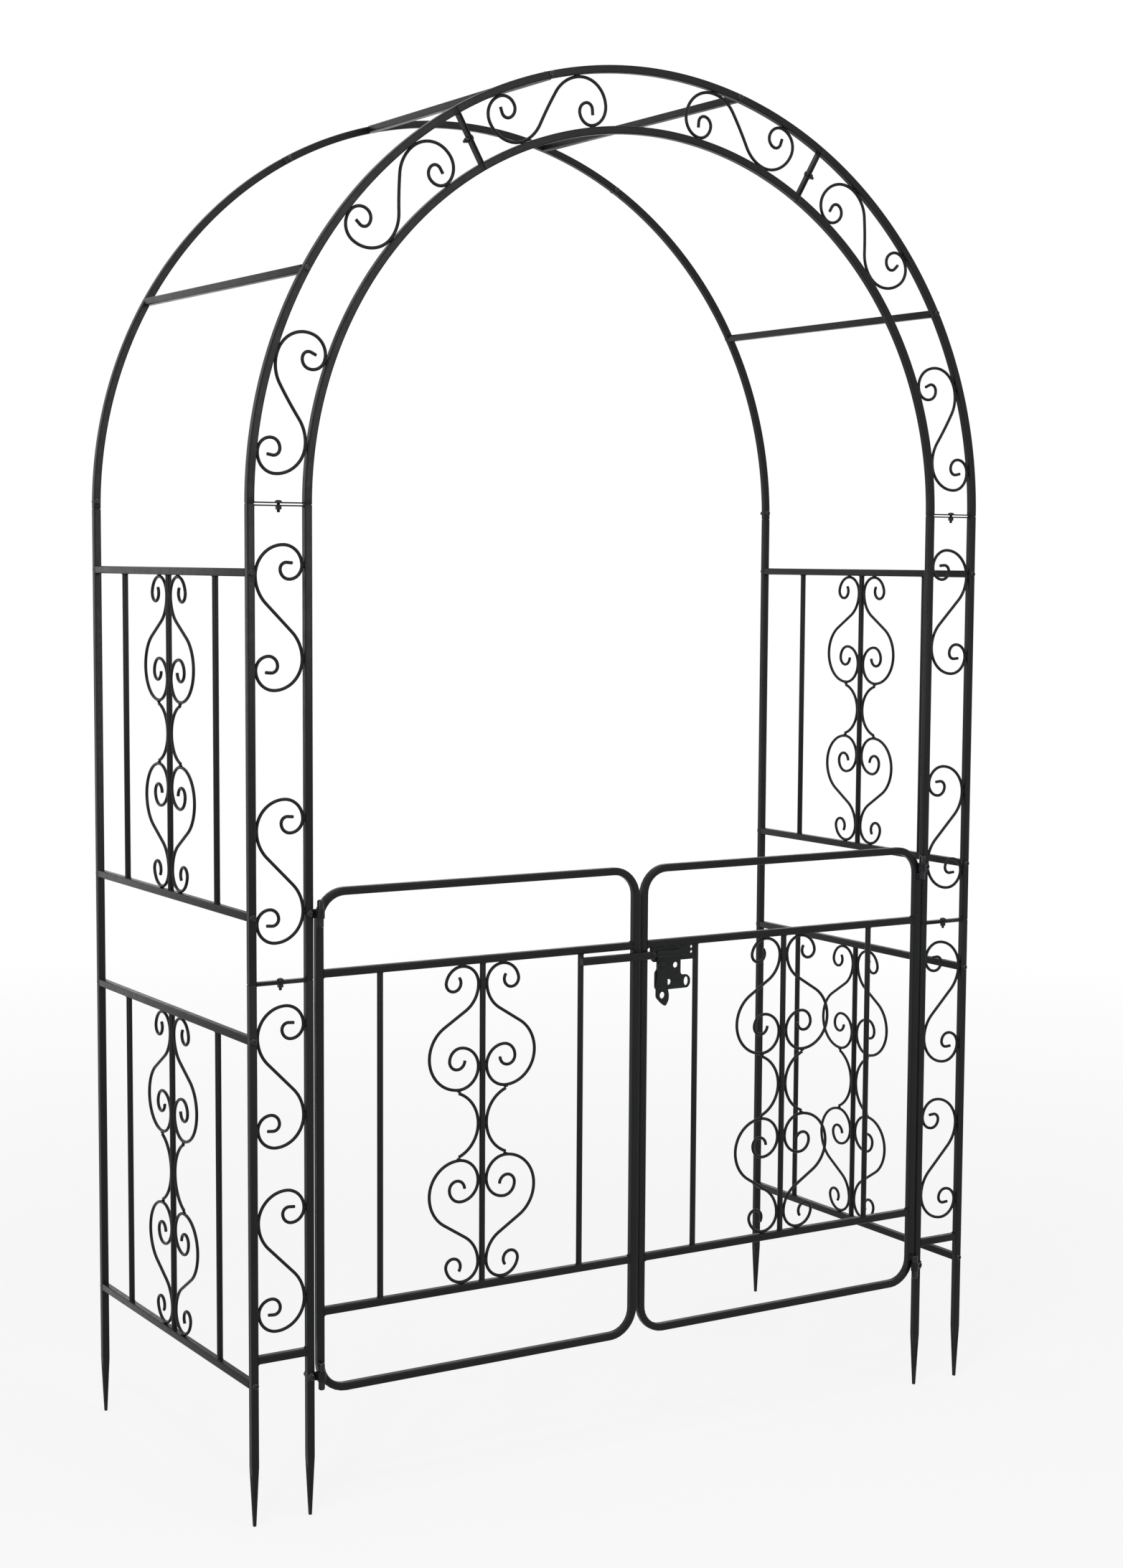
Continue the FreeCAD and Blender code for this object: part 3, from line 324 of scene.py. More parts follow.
def hex_nut(centre, axis, width, bore, height=5.0):
    """A hexagon nut whose corners are turned down at both faces, on the centre given."""
    hexed = hexagon(width)
    shoulder = np.minimum(hexed, width / 2 * 1.04)
    half = [np.full(ROUND, bore), np.full(ROUND, width / 2 * 0.93), shoulder, hexed]
    heights = [0, 0, 0.3, 0.9, height - 0.9, height - 0.3, height, height]
    return turned(half + half[::-1], heights, centre, axis, closed=True)


# %% [markdown]
# ## Welds
# The parts are joined by short arc welds under the paint. A bead is a low lump along its seam,
# with the ripples of the weld pool, and a picket has a ring of it at each end. They are small,
# but they are what holds the object together, and each one breaks a straight edge.

# %% Beads, rings and loops of weld


def bead(centre, along, length=9.0, radius=1.7):
    """A lump along a seam: half a sine wave as radius, with three ripples on it."""
    share = np.linspace(0.02, 0.98, 11)
    radii = radius * np.sin(np.pi * share) ** 0.6 * (1 + 0.09 * np.cos(6 * np.pi * share))
    return turned(radii, (share - 0.5) * length, centre, along, steps=8)


def bead_pair(middle, side, along, length=9.0, radius=1.7, reach=1.6):
    """Two beads, one on each side of a place, such as before and behind a wire."""
    return [bead(middle + way * reach * side, along, length, radius) for way in (-1, 1)]


def weld_ring(centre):
    """A ring of weld round a picket: a torus whose small radius ripples with the angle."""
    steps = 28
    turn = np.linspace(0, 2 * np.pi, steps, endpoint=False)
    small = 1.1 * (1 + 0.13 * np.cos(7 * turn) + 0.07 * np.sin(3 * turn))
    lift = np.radians(np.arange(0, 360, 45))[:, None]
    radii = picket / 2 - 0.2 + small * np.cos(lift)
    return turned(radii, small * np.sin(lift), centre, Z_AXIS, steps, closed=True)


def weld_loop(centre):
    """A fillet round the end of a tube along x: a small circle carried round its outline."""
    loop = rounded(tube, tube, 1.4, steps=2)
    path = np.asarray(centre) + loop[:, :1] * Z_AXIS - loop[:, 1:] * Y_AXIS
    ripple = 1 + 0.12 * np.cos(np.arange(len(path)) * 2.1)
    return carry(path, X_AXIS, circle(1.1, 8), ripple, closed=True)


# %% [markdown]
# ## Satin black powder coat
# Powder coat is a polyester paint sprayed dry and baked. It gives a nearly black body with a
# soft sheen: the surface has a faint orange peel, about 2 mm from crest to crest, and handling
# and dust make the sheen a little uneven. Noise textures of those real sizes on Object
# coordinates drive colour, roughness and bump.

# %% Colours and nodes


def linear(hex_colour):
    """An sRGB hex colour as linear values, which is what a shader multiplies with."""
    channels = np.array([int(hex_colour[i : i + 2], 16) for i in (1, 3, 5)]) / 255
    low = channels / 12.92
    high = ((channels + 0.055) / 1.055) ** 2.4
    return (*np.where(channels <= 0.04045, low, high).tolist(), 1.0)


def add_node(tree, kind, settings=None, inputs=None):
    """Adds one node with its settings; an input is a value or another node's output."""
    node = tree.nodes.new(kind)
    for name, value in (settings or {}).items():
        setattr(node, name, value)
    for name, value in (inputs or {}).items():
        if isinstance(value, bpy.types.NodeSocket):
            tree.links.new(value, node.inputs[name])
        else:
            node.inputs[name].default_value = value
    return node


def empty_tree(owner):
    """The node tree of a material or a world, emptied."""
    owner.use_nodes = True
    owner.node_tree.nodes.clear()
    return owner.node_tree


def uneven_finish(name, dark, light, noises, rough, fixed):
    """A material whose colour follows its first noise and whose roughness follows its second.

    A noise is its lumps' size in mm and its detail. Rough is the roughness at low and at high
    places. Gives the material, its shader and the noises' values.
    """
    material = bpy.data.materials.new(name)
    tree = empty_tree(material)
    place = add_node(tree, "ShaderNodeTexCoord").outputs["Object"]
    values = []
    for size, detail in noises:
        lumps = {"Vector": place, "Scale": 1 / (size * METRE), "Detail": detail}
        values.append(add_node(tree, "ShaderNodeTexNoise", inputs=lumps).outputs["Fac"])
    tones = {"Factor": values[0], 6: linear(dark), 7: linear(light)}
    tone = add_node(tree, "ShaderNodeMix", {"data_type": "RGBA"}, tones)
    spread = {"Value": values[1], 1: 0.3, 2: 0.7, 3: rough[0], 4: rough[1]}
    gloss = add_node(tree, "ShaderNodeMapRange", inputs=spread)
    look = {"Base Color": tone.outputs[2], "Roughness": gloss.outputs["Result"], **fixed}
    shader = add_node(tree, "ShaderNodeBsdfPrincipled", inputs=look)
    add_node(tree, "ShaderNodeOutputMaterial", inputs={"Surface": shader.outputs["BSDF"]})
    return material, shader, values


# %% The powder coat


def powder_coat(name, dark, dusty, sheen, peel, peel_depth, gleam):
    """Baked paint: two tones in patches of 60 mm, an uneven sheen, and an orange peel bump."""
    noises = ((60, 4.0), (14, 3.0), (peel, 2.0))
    fixed = {"IOR": 1.5, "Specular IOR Level": gleam}
    rough = (sheen - 0.05, sheen + 0.06)
    material, shader, values = uneven_finish(name, dark, dusty, noises, rough, fixed)
    tree = material.node_tree
    skin = {"Height": values[2], "Strength": 0.35, "Distance": peel_depth * METRE}
    bump = add_node(tree, "ShaderNodeBump", inputs=skin)
    tree.links.new(bump.outputs["Normal"], shader.inputs["Normal"])
    return material


# Tube takes the coat evenly, so it shows the plain satin sheen.
coated_tube = powder_coat("satin_powder_coat_on_tube", "#131415", "#1c1c1d", 0.3, 2.2, 0.05, 0.135)
# Powder builds up thicker on thin wire and flows out smoother, so its glints are tighter.
coated_wire = powder_coat("satin_powder_coat_on_wire", "#111213", "#18181a", 0.27, 1.8, 0.04, 0.13)
# Pressed sheet steel under the coat is smoother than tube, but its coat is thinner and duller.
coated_plate = powder_coat(
    "satin_powder_coat_on_pressed_steel", "#141516", "#1d1e1f", 0.28, 2.6, 0.04, 0.14
)
print("coats:", coated_tube.name, coated_wire.name, coated_plate.name)

# %% [markdown]
# ## Black oxide on the bolts
# The screws and nuts are steel blackened in a hot salt bath. The oxide is only a micrometre
# thick, so the metal's own tight reflections stay, and each domed head shows a white glint.

# %% The oxide


def black_oxide(name, tone, worn, rough):
    """Blackened metal: a dark metallic tone, rubbed lighter and smoother in patches of 4 mm."""
    spread = (rough + 0.06, rough - 0.04)
    return uneven_finish(name, tone, worn, ((4, 4.0), (4, 4.0)), spread, {"Metallic": 1.0})[0]


# Screws and nuts keep a dark, even oxide with a clear glint.
oxide_screws = black_oxide("black_oxide_on_screws", "#262629", "#39393d", 0.16)
# A pivot is rubbed by its strap as the gate swings, which leaves it lighter and duller.
rubbed_pivot = black_oxide("black_oxide_on_pivot_rod", "#26262a", "#3a3a3e", 0.22)
print("oxides:", oxide_screws.name, rubbed_pivot.name)

# %% [markdown]
# ## Posts
# The lower tubes are pinched in a press into a long point that is pushed into the soil. The
# press leaves a shallow crease in the middle of each flat. Where two tubes meet, a thinner
# neck plugs into the next tube, and a fine dark line shows all round.

# %% Posts and their stakes
point_length = 92.0
tip_share = 4.5 / tube


def stake(x, y, top):
    """A tube from its pinched tip up to the joint at height top.

    The outline shrinks evenly towards the tip. At s of the way up the point, the middle of
    each flat is pressed in by a share of 0.42 sin(pi s) to the power of 0.7.
    """
    flats = half_tube * np.array([[1, 0], [0, 1], [-1, 0], [0, -1]])
    shape = np.concatenate([flats[:, None], TUBE.reshape(4, -1, 2)], axis=1).reshape(-1, 2)
    middles = np.arange(len(shape)) % (len(shape) // 4) == 0
    foot = [0.0, 0.6, *np.linspace(3, 90, 18), point_length, point_length + 4.0]
    heights = np.array([*foot, top - 0.5, top - 0.25, top - 0.067, top])
    share = np.clip(heights / point_length, 0, 1)
    scale = tip_share + (1 - tip_share) * share
    scale[0] *= 0.7
    scale[-3:] -= np.array([0.067, 0.25, 0.5]) / half_tube
    crease = 0.42 * np.sin(np.pi * share) ** 0.7
    pressed = scale[:, None] * (1 - crease[:, None] * middles)
    return carry(points_of(x, y, heights), Y_AXIS, shape * pressed[..., None])


neck_half, neck_reach = 4.8, 8.0
NECK = rounded(2 * neck_half, 2 * neck_half, 1.2)


def neck(x, y, height):
    """The swaged end of the lower tube, seen only through the gap."""
    ends = points_of(x, y, [height - neck_reach, height + neck_reach])
    return bar(ends, Y_AXIS, NECK, neck_half)


for side, sign in SIDES:
    for place, x in (("outer", outer_x * sign), ("inner", inner_x * sign)):
        lower = [stake(x, front_y, joint - gap / 2), neck(x, front_y, joint)]
        make_piece(f"stake_tube_{place}_{side}", lower, coated_tube, f"stake_post_{place}_{side}")
        ends = points_of(x, front_y, [joint + gap / 2, spring - gap / 2])
        upper = [bar(ends, Y_AXIS), neck(x, front_y, spring)]
        make_piece(f"upper_tube_{place}_{side}", upper, coated_tube, f"upper_post_{place}_{side}")
    x = outer_x * sign
    rear = [stake(x, rear_y, spring - gap / 2), neck(x, rear_y, spring)]
    make_piece(f"rear_tube_{side}", rear, coated_tube, f"rear_post_{side}")
print("posts:", len(pieces))

# %% [markdown]
# ## Hoops
# Each hoop is three lengths of tube rolled to one radius, the middle one over the top. An arc
# is a path of points on a circle, one every degree, and the tube's outline is carried along it.

# %% Hoops


def on_hoop(radius, angle, y):
    """Points of a hoop's centre line: radius times the cosine and sine above the spring line."""
    turn = np.radians(angle)
    return points_of(radius * np.cos(turn), y, spring + radius * np.sin(turn))


def hoop(radius, y):
    """Three arcs of tube with a neck in each joint between them."""
    margin = math.degrees(gap / 2 / radius)
    reach = math.degrees(neck_reach / radius)
    lengths = zip((0, *HOOP_JOINTS), (*HOOP_JOINTS, 180))
    arcs = [(start + margin, end - margin, 61, TUBE, half_tube) for start, end in lengths]
    arcs += [(angle - reach, angle + reach, 5, NECK, neck_half) for angle in HOOP_JOINTS]
    parts = []
    for start, end, count, outline, half in arcs:
        path, scale = eased(on_hoop(radius, np.linspace(start, end, count), y), half)
        parts.append(carry(path, Y_AXIS, outline, scale))
    return parts


for name, radius, y in (
    ("front_hoop_outer", outer_x, front_y),
    ("front_hoop_inner", inner_x, front_y),
    ("rear_hoop", outer_x, rear_y),
):
    arcs = make_piece(f"{name}_tube", hoop(radius, y), coated_tube, name)
    print(arcs.name, "faces:", len(arcs.data.polygons))

# %% [markdown]
# ## Rungs and clamps of the ladders
# The two front hoops are joined like a ladder. A rung of the same tube is welded in near the
# ground. Higher up, each section ends in a flat strip, and a screw clamps two strips
# together. The upper pairs stand apart by a line of light, and the lower ones all but touch.

# %% Rungs, strips and their welds
rung_height = 254.0


def welded_rail(start, end, z):
    """A tube along x between two others, with a fillet of weld round each end."""
    ends = points_of([start, end], front_y, z)
    return [bar(ends, Y_AXIS, ease=0.1), *(weld_loop(at) for at in ends)]


def directions(angle):
    """Unit vectors at an angle of the hoops: across the ladder and along it."""
    cosine, sine = math.cos(math.radians(angle)), math.sin(math.radians(angle))
    return np.array([cosine, 0, sine]), np.array([-sine, 0, cosine])


rungs = []
for _, sign in SIDES:
    rungs += welded_rail(sign * (inner_x + half_tube), sign * (outer_x - half_tube), rung_height)
make_piece("bottom_rungs", rungs, coated_tube, "ladder_bottom_rungs")

# The thickness of a strip, and how far its middle lies from the middle of the clamp.
lower_strip = (2.7, 1.6)
upper_strip = (2.0, 2.1)
strip_half = (outer_x - inner_x - tube) / 2 - 0.1
clamp_places = [
    (90.0 - 90.0 * sign, np.array([sign * rung_x, front_y, z]))
    for z in (joint, spring)
    for _, sign in SIDES
]
clamp_places += [(angle, on_hoop(rung_x, angle, front_y)) for angle in HOOP_JOINTS]
strips = []
for angle, centre in clamp_places:
    across, along = directions(angle)
    thick, apart = lower_strip if centre[2] == joint else upper_strip
    outline = rounded(thick, 10.0, 0.3 * thick)
    for side in (-1, 1):
        at = centre + side * apart * along
        ends = [at - strip_half * across, at + strip_half * across]
        strips.append(bar(ends, Y_AXIS, outline, thick / 2, 0.2))
        seam = at + side * (thick / 2 - 0.1) * along
        strips += bead_pair(seam, across, Y_AXIS, 9.0, 1.2, strip_half - 0.3)
make_piece("clamp_strip_pairs", strips, coated_plate, "clamp_strips")
print("clamps:", len(clamp_places))

# %% [markdown]
# ## Scrolls of the ladders
# An S scroll is one length of wire bent cold round five formers, each smaller than the last,
# and turned half a circle for the other end. It touches the tube on each side at both of its
# curls. On the hoops, the same S follows the curve: its length becomes an angle round the hoop.

# %% One S scroll


def s_scroll():
    """The S in its own plane: u across the ladder from inner to outer, v along it."""
    width = outer_x - inner_x - tube - wire - 2 * weld_gap
    height, outer = 217.0, 45.0
    half_run = height / 2 - outer - wire / 2
    slope = math.radians(45)
    radius = (2 * half_run - width) / (2 * (math.sin(slope) + math.cos(slope) - 1))
    run = (width - 2 * radius * (1 - math.cos(slope))) / math.sin(slope)
    start = (width / 2, half_run)
    steps = ((outer, 90), (width - outer, 90), (20.5, 90), (14.5, 90), (10.0, 95), (0, 9.0))
    curl = bend(start, 90, steps)
    crossing = bend(start, -90, ((radius, -45), (0, run), (radius, 45)))
    far = np.array([-width / 2, half_run + 2 * outer - width])
    touches = np.array([start, far, -np.array(start), -far])
    return np.concatenate([curl[::-1], crossing[1:], -curl[1:]]), touches


s_line, s_touches = s_scroll()
s_length = np.linalg.norm(np.diff(s_line, axis=0), axis=1).sum()
print("an S of", round(float(s_length)), "mm of wire")


def wire_on(path, normal):
    """Wire along a path, its cut ends eased."""
    line, scale = eased(path, wire / 2, 0.7)
    return carry(line, normal, WIRE, scale)


def ladder_set(places):
    """The scrolls' wires, and two beads wherever one touches a tube. A place maps the S's u, v."""
    parts = []
    for place in places:
        parts.append(wire_on(place(*s_line.T), Y_AXIS))
        for u, v in s_touches:
            lower, upper = place(u + math.copysign(2.2, u), np.array([v - 1, v + 1]))
            parts += bead_pair((lower + upper) / 2, Y_AXIS, upper - lower)
    return parts


def straight_place(sign, height):
    """Puts an S into a straight ladder about a height."""
    return lambda u, v: points_of(sign * (rung_x + u), front_y, height + v)


def curved_place(sign, angle):
    """Puts an S into the hoops about an angle: v becomes v over the mean radius."""
    return lambda u, v: on_hoop(rung_x + u, angle + np.degrees(v / rung_x), front_y) * (sign, 1, 1)


# %% Scrolls up the ladders and over the hoops
LADDER_MIDDLES = {"lower": (538.0, 278.0), "upper": (1169.5, 372.0)}
half_step = 33.0 / 2
HOOP_SCROLLS = {
    "right": ((30 - half_step, 1), (30 + half_step, 1)),
    "centre": ((90 - half_step, 1), (90 - half_step, -1)),
    "left": ((30 - half_step, -1), (30 + half_step, -1)),
}
scroll_sets = {}
for side, sign in SIDES:
    for level, (height, pitch) in LADDER_MIDDLES.items():
        places = [straight_place(sign, height + way * pitch / 2) for way in (-1, 1)]
        scroll_sets[f"ladder_scrolls_{level}_{side}"] = places
for side, scrolls in HOOP_SCROLLS.items():
    places = [curved_place(sign, angle) for angle, sign in scrolls]
    scroll_sets[f"hoop_scrolls_{side}"] = places
for name, places in scroll_sets.items():
    make_piece(f"{name}_wire", ladder_set(places), coated_wire, name)
print("S scrolls:", sum(len(places) for places in scroll_sets.values()))

# %% [markdown]
# ## Heart scrolls
# Each panel has a set about its middle picket: two hearts, each of a left and a right wire,
# and two bows that hold the hearts apart. One wire is again a chain of arcs. Where two arcs
# meet, the line does not kink, because each arc starts with the heading of the last.

# %% One heart wire and one bow
touch = (picket + wire) / 2 + weld_gap


def heart_wire():
    """The right-hand wire of the upper heart, from the picket's centre line and the rail's edge.

    With it come its lobe's lowest place and its welds: place, upright or not, length, depth.
    """
    hook, inward, run, outward, lobe = 28.8, 48.6, 44.0, 56.0, 52.0
    slope = math.radians(58)
    reach = (inward + outward) * (1 - math.cos(slope)) + run * math.sin(slope)
    start = (touch, -(wire / 2 + weld_gap + hook))
    up = bend(start, 90, ((hook, -90), (hook, -78), (13.0, -232)))
    to_lobe = ((inward, 58), (0, run), (outward, -58), (lobe, -90))
    to_picket = to_lobe + ((reach - lobe, -90),)
    down = bend(start, -90, to_picket + ((31.0, -90), (20.0, -90), (13.5, -180)))
    back = bend(start, -90, to_picket)[-1]
    low = bend(start, -90, to_lobe)[-1]
    welds = [(a - 1.9, b, True, 8.0, 1.6) for a, b in (start, back)]
    welds.append((touch + hook, start[1] + hook + 1.9, False, 8.0, 1.6))
    welds.append((low[0], low[1] - 2.6, False, 7.0, 1.4))
    return np.concatenate([up[::-1], down[1:]]), low, welds


heart_line, heart_low, heart_welds = heart_wire()
print("a heart wire is", round(float(np.ptp(heart_line[:, 1])), 1), "mm high")


def bow_wire(top, bottom):
    """The arc from the upper heart's lobe past the picket to the lower heart's lobe."""
    middle = (top + bottom) / 2
    half_chord = top + heart_low[1] - wire - weld_gap - 0.3 - middle
    rise = heart_low[0] - touch
    radius = (half_chord**2 + rise**2) / (2 * rise)
    t = np.linspace(1, -1, 41) * math.asin(half_chord / radius)
    return np.stack([touch + radius * (1 - np.cos(t)), middle + radius * np.sin(t)], axis=1)


def in_panel(centre, across, a, b):
    """Places in a panel: a along it from its middle, and b above the ground."""
    return centre + np.multiply.outer(a, across) + np.multiply.outer(b, Z_AXIS)


def heart_set(top, bottom, centre, normal, across):
    """Four heart wires, two bows and their welds between the edges of two rails."""
    parts = []
    bow = bow_wire(top, bottom)
    for sign in (-1, 1):
        parts.append(wire_on(in_panel(centre, across, sign * bow[:, 0], bow[:, 1]), normal))
        seam = in_panel(centre, across, sign * 5.6, (top + bottom) / 2)
        parts += bead_pair(seam, normal, Z_AXIS, 8.0, 1.5)
        for edge, down in ((top, 1), (bottom, -1)):
            a, b = heart_line.T
            line = in_panel(centre, across, sign * a, edge + down * b)
            parts.append(wire_on(line, normal))
            for a, b, upright, length, depth in heart_welds:
                seam = in_panel(centre, across, sign * a, edge + down * b)
                along = Z_AXIS if upright else across
                parts += bead_pair(seam, normal, along, length, 1.5, depth)
    return parts


# %% [markdown]
# ## Side panels
# On each side two panels of square rails and round pickets reach from the front ladder to the
# rear post. The rails end between the posts and are screwed from outside.

# %% Rails, pickets and hearts of the side panels
side_pitch = 176.0
rail_front = front_y + half_tube
rail_rear = rear_y - half_tube
PICKET = circle(picket / 2, 24)


def long_rail(x, z):
    """A tube from the front of the arch to its rear."""
    return bar(points_of(x, [rail_front, rail_rear], z), Z_AXIS, ease=0.4)


def trellis(low, high, pitch, centre, normal, across):
    """Three pickets with rings of weld, and a set of hearts, between rails at two heights."""
    foot, head = low + half_tube, high - half_tube
    rods = []
    for step in (-1, 0, 1):
        ends = in_panel(centre, across, step * pitch, [foot, head])
        rods.append(bar(ends, Y_AXIS, PICKET, picket / 2, 0.1))
        rods += [weld_ring(end) for end in ends]
    return rods, heart_set(head, foot, centre, normal, across)


for side, sign in SIDES:
    x = sign * outer_x
    rails = [long_rail(x, z) for z in rail_heights]
    make_piece(f"side_rail_tubes_{side}", rails, coated_tube, f"side_rails_{side}")
    pickets = []
    for level, heights in PANELS.items():
        rods, hearts = trellis(*heights, side_pitch, (x, middle_y, 0), X_AXIS, Y_AXIS)
        pickets += rods
        name = f"side_scrolls_{level}_{side}"
        make_piece(f"{name}_wire", hearts, coated_wire, name)
    make_piece(f"side_picket_rods_{side}", pickets, coated_tube, f"side_pickets_{side}")
print("side panels:", len(SIDES) * len(PANELS))

# %% [markdown]
# ## Crossbars
# Four bars tie the front hoop to the rear one, two low and two near the top.

# %% Crossbars
bar_angles = np.array([30.0, 75.0, 105.0, 150.0])
bar_places = on_hoop(outer_x, bar_angles, 0.0)[:, ::2].tolist()
bars = [long_rail(x, z) for x, z in bar_places]
make_piece("hoop_crossbar_tubes", bars, coated_tube, "hoop_crossbars")
print("crossbars:", len(bars))

# %% [markdown]
# ## Gate leaves
# A leaf is one tube bent round into a closed frame, so its path is closed too: four runs and
# four quarter circles. Two rails and three pickets are welded inside.

# %% Gate frames, rails, pickets and hearts
hinge_gap, meeting_gap = 5.0, 4.0
stile_outer = inner_x - half_tube - hinge_gap - half_tube
stile_inner = meeting_gap / 2 + half_tube
leaf_centre = (stile_outer + stile_inner) / 2
rail_reach = (stile_outer - stile_inner - tube) / 2
gate_top, gate_bottom, corner_radius = 948.0, 190.0, 42.0
leaf_rails = (312.0, 826.0)
leaf_pitch = 179.0


def leaf_ring(centre):
    """A leaf's frame: runs and quarter circles back to the start, rounder in section at the bends.

    Past the ends of the runs a point lies dx out and dz up, and there the outline goes a share
    of 2 dx dz over (dx squared + dz squared) of the way to one whose corners are drawn out.
    """
    width = stile_outer - stile_inner - 2 * corner_radius
    height = gate_top - gate_bottom - 2 * corner_radius
    steps = ((0, height), (corner_radius, 90), (0, width), (corner_radius, 90)) * 2
    start = (centre + width / 2 + corner_radius, gate_bottom + corner_radius)
    line = bend(start, 90, steps, 40.0)[:-1]
    past = np.abs(line - (centre, (gate_top + gate_bottom) / 2)) - (width / 2, height / 2)
    dx, dz = np.maximum(past, 0.0).T
    share = 2 * dx * dz / np.maximum(dx**2 + dz**2, 1e-6)
    outlines = TUBE + share[:, None, None] * (rounded(tube, tube, 3.4) - TUBE)
    return carry(points_of(line[:, 0], front_y, line[:, 1]), Y_AXIS, outlines, closed=True)


for side, sign in SIDES:
    body = f"gate_{side}"
    centre = sign * leaf_centre
    make_piece(f"gate_tube_{side}", [leaf_ring(centre)], coated_tube, f"gate_frame_{side}", body)
    rails = []
    for z in leaf_rails:
        rails += welded_rail(centre - rail_reach, centre + rail_reach, z)
    make_piece(f"gate_rail_tubes_{side}", rails, coated_tube, f"gate_rails_{side}", body)
    rods, hearts = trellis(*leaf_rails, leaf_pitch, (centre, front_y, 0), Y_AXIS, X_AXIS)
    make_piece(f"gate_picket_rods_{side}", rods, coated_tube, f"gate_pickets_{side}", body)
    make_piece(f"gate_scroll_wire_{side}", hearts, coated_wire, f"gate_scrolls_{side}", body)
print("leaf width:", round(stile_outer - stile_inner + tube, 1), "mm")

# %% [markdown]
# ## Screws and nuts
# Rails are held by button-head screws from outside. The clamps and the rear hoop have a nut on
# the far side, and a few turns of thread show past it.

# %% Screws and nuts of the arch
rail_places = [(sign * outer_x, z) for _, sign in SIDES for z in rail_heights] + bar_places
rail_screws = []
for x, z in rail_places:
    for face, way in ((front_y - half_tube, -1), (rear_y + half_tube, 1)):
        rail_screws += screw((x, face, z), way * Y_AXIS, 26.0, pitch=4.0)
make_piece("rail_screws", rail_screws, oxide_screws, "rail_bolts", sharp=50)

clamp_half = 3.0
nut_width, nut_bore = 8.0, 2.5
joint_screws, nuts = [], []
for angle, centre in clamp_places:
    along = directions(angle)[1]
    away = along * np.sign(along[2])
    joint_screws += screw(centre + clamp_half * away, away, 15.0)
    nuts.append(hex_nut(centre - clamp_half * away, -away, nut_width, nut_bore))
# A screw pins each neck of the rear hoop, this far past its joint.
pin = gap / 2 + 12.0
pin_turn = math.degrees(pin / outer_x)
pin_angles = np.array(HOOP_JOINTS) + (pin_turn, -pin_turn)
rear_pins = [(sign * outer_x, spring + pin) for _, sign in SIDES]
rear_pins += on_hoop(outer_x, pin_angles, 0.0)[:, ::2].tolist()
for x, z in rear_pins:
    joint_screws += screw(np.array([x, rear_y - half_tube, z]), -Y_AXIS, 21.0)
    nuts.append(hex_nut((x, rear_y + half_tube, z), Y_AXIS, nut_width, nut_bore))
make_piece("joint_screws", joint_screws, oxide_screws, "joint_bolts", sharp=50)
make_piece("joint_hex_nuts", nuts, oxide_screws, "joint_nuts", sharp=30)
print("screws:", len(rail_places) * 2 + len(clamp_places) + len(rear_pins))

# %% [markdown]
# ## Hinges
# A hinge strap is a strip of 1.5 mm steel, screwed to the post and rolled round the pivot. The
# pivot is a rod welded to the gate's stile by a lug. The strap is again a path with an outline:
# straight on the post, a small step, and then most of a circle.

# %% Straps, pivots and their screws
strap = 1.5
strap_step = 0.6
eye_radius = 6.55
post_face = front_y - half_tube
pivot_x = stile_outer + 3.5
pivot_y = post_face - strap_step - eye_radius
hinge_heights = (216.0, 918.0)
lug_depth = 12.5
BAND = rounded(strap, 14.0, 0.5)
LUG = rounded(6.0, lug_depth, 1.0)


def strap_band(sign, height):
    """A strip along x from the post, stepped out, then rolled 285 degrees round the pivot."""
    on_post = post_face - strap / 2
    off_post = on_post - strap_step
    run = bend((inner_x + 6.0, on_post), 180, ((0, 13.0),), 4.0)
    step = [(x, off_post) for x in (inner_x - 8.5, pivot_x + 3.0, pivot_x)]
    roll = bend((pivot_x, off_post), 180, ((off_post - pivot_y, 285),), 0.8)[1:]
    line = np.concatenate([run, step, roll])
    path, scale = eased(points_of(sign * line[:, 0], line[:, 1], height), strap / 2, 0.3)
    return carry(path, Z_AXIS, BAND, scale)


def pivot_rod(x, height):
    """A rod with rounded ends: each end is a quarter ellipse of radius 5 sin t, 3 mm deep."""
    lift = np.radians(np.linspace(2, 90, 8))
    radii = 5.0 * np.sin(np.concatenate([lift, lift[::-1]]))
    ends = 21.5 - 3.0 * (1 - np.cos(lift))
    heights = np.concatenate([-ends, ends[::-1]])
    return turned(radii, heights, (x, pivot_y, height), Z_AXIS, steps=32)


hinge_screws, hinge_nuts = [], []
for side, sign in SIDES:
    bands = [strap_band(sign, z) for z in hinge_heights]
    make_piece(f"hinge_bands_{side}", bands, coated_plate, f"hinge_straps_{side}")
    rods = []
    x = sign * (pivot_x - 1.75)
    for z, inward in zip(hinge_heights, (1, -1)):
        rods.append(pivot_rod(sign * pivot_x, z))
        lug_z = z + inward * (7.0 + 1.0 + lug_depth / 2 + 0.5)
        ends = points_of(x, [pivot_y, post_face + 0.5], lug_z)
        rods.append(bar(ends, Z_AXIS, LUG, 3.0))
        seam = (x, post_face - 0.4, lug_z)
        rods += bead_pair(seam, X_AXIS, Z_AXIS, lug_depth, 1.5, 3.0)
        seat = np.array([sign * inner_x, post_face - strap, z])
        hinge_screws += screw(seat, -Y_AXIS, 22.5, (6.5, 4.0), 3.0, 1.0)
        hinge_nuts.append(hex_nut((sign * inner_x, rail_front, z), Y_AXIS, 10.0, 3.0))
    body = f"gate_{side}"
    make_piece(f"gate_pivot_rods_{side}", rods, rubbed_pivot, f"gate_pivots_{side}", body)
make_piece("hinge_screws", hinge_screws, oxide_screws, "hinge_bolts", sharp=50)
make_piece("hinge_hex_nuts", hinge_nuts, oxide_screws, "hinge_nuts", sharp=30)
print("hinges:", len(hinge_nuts))

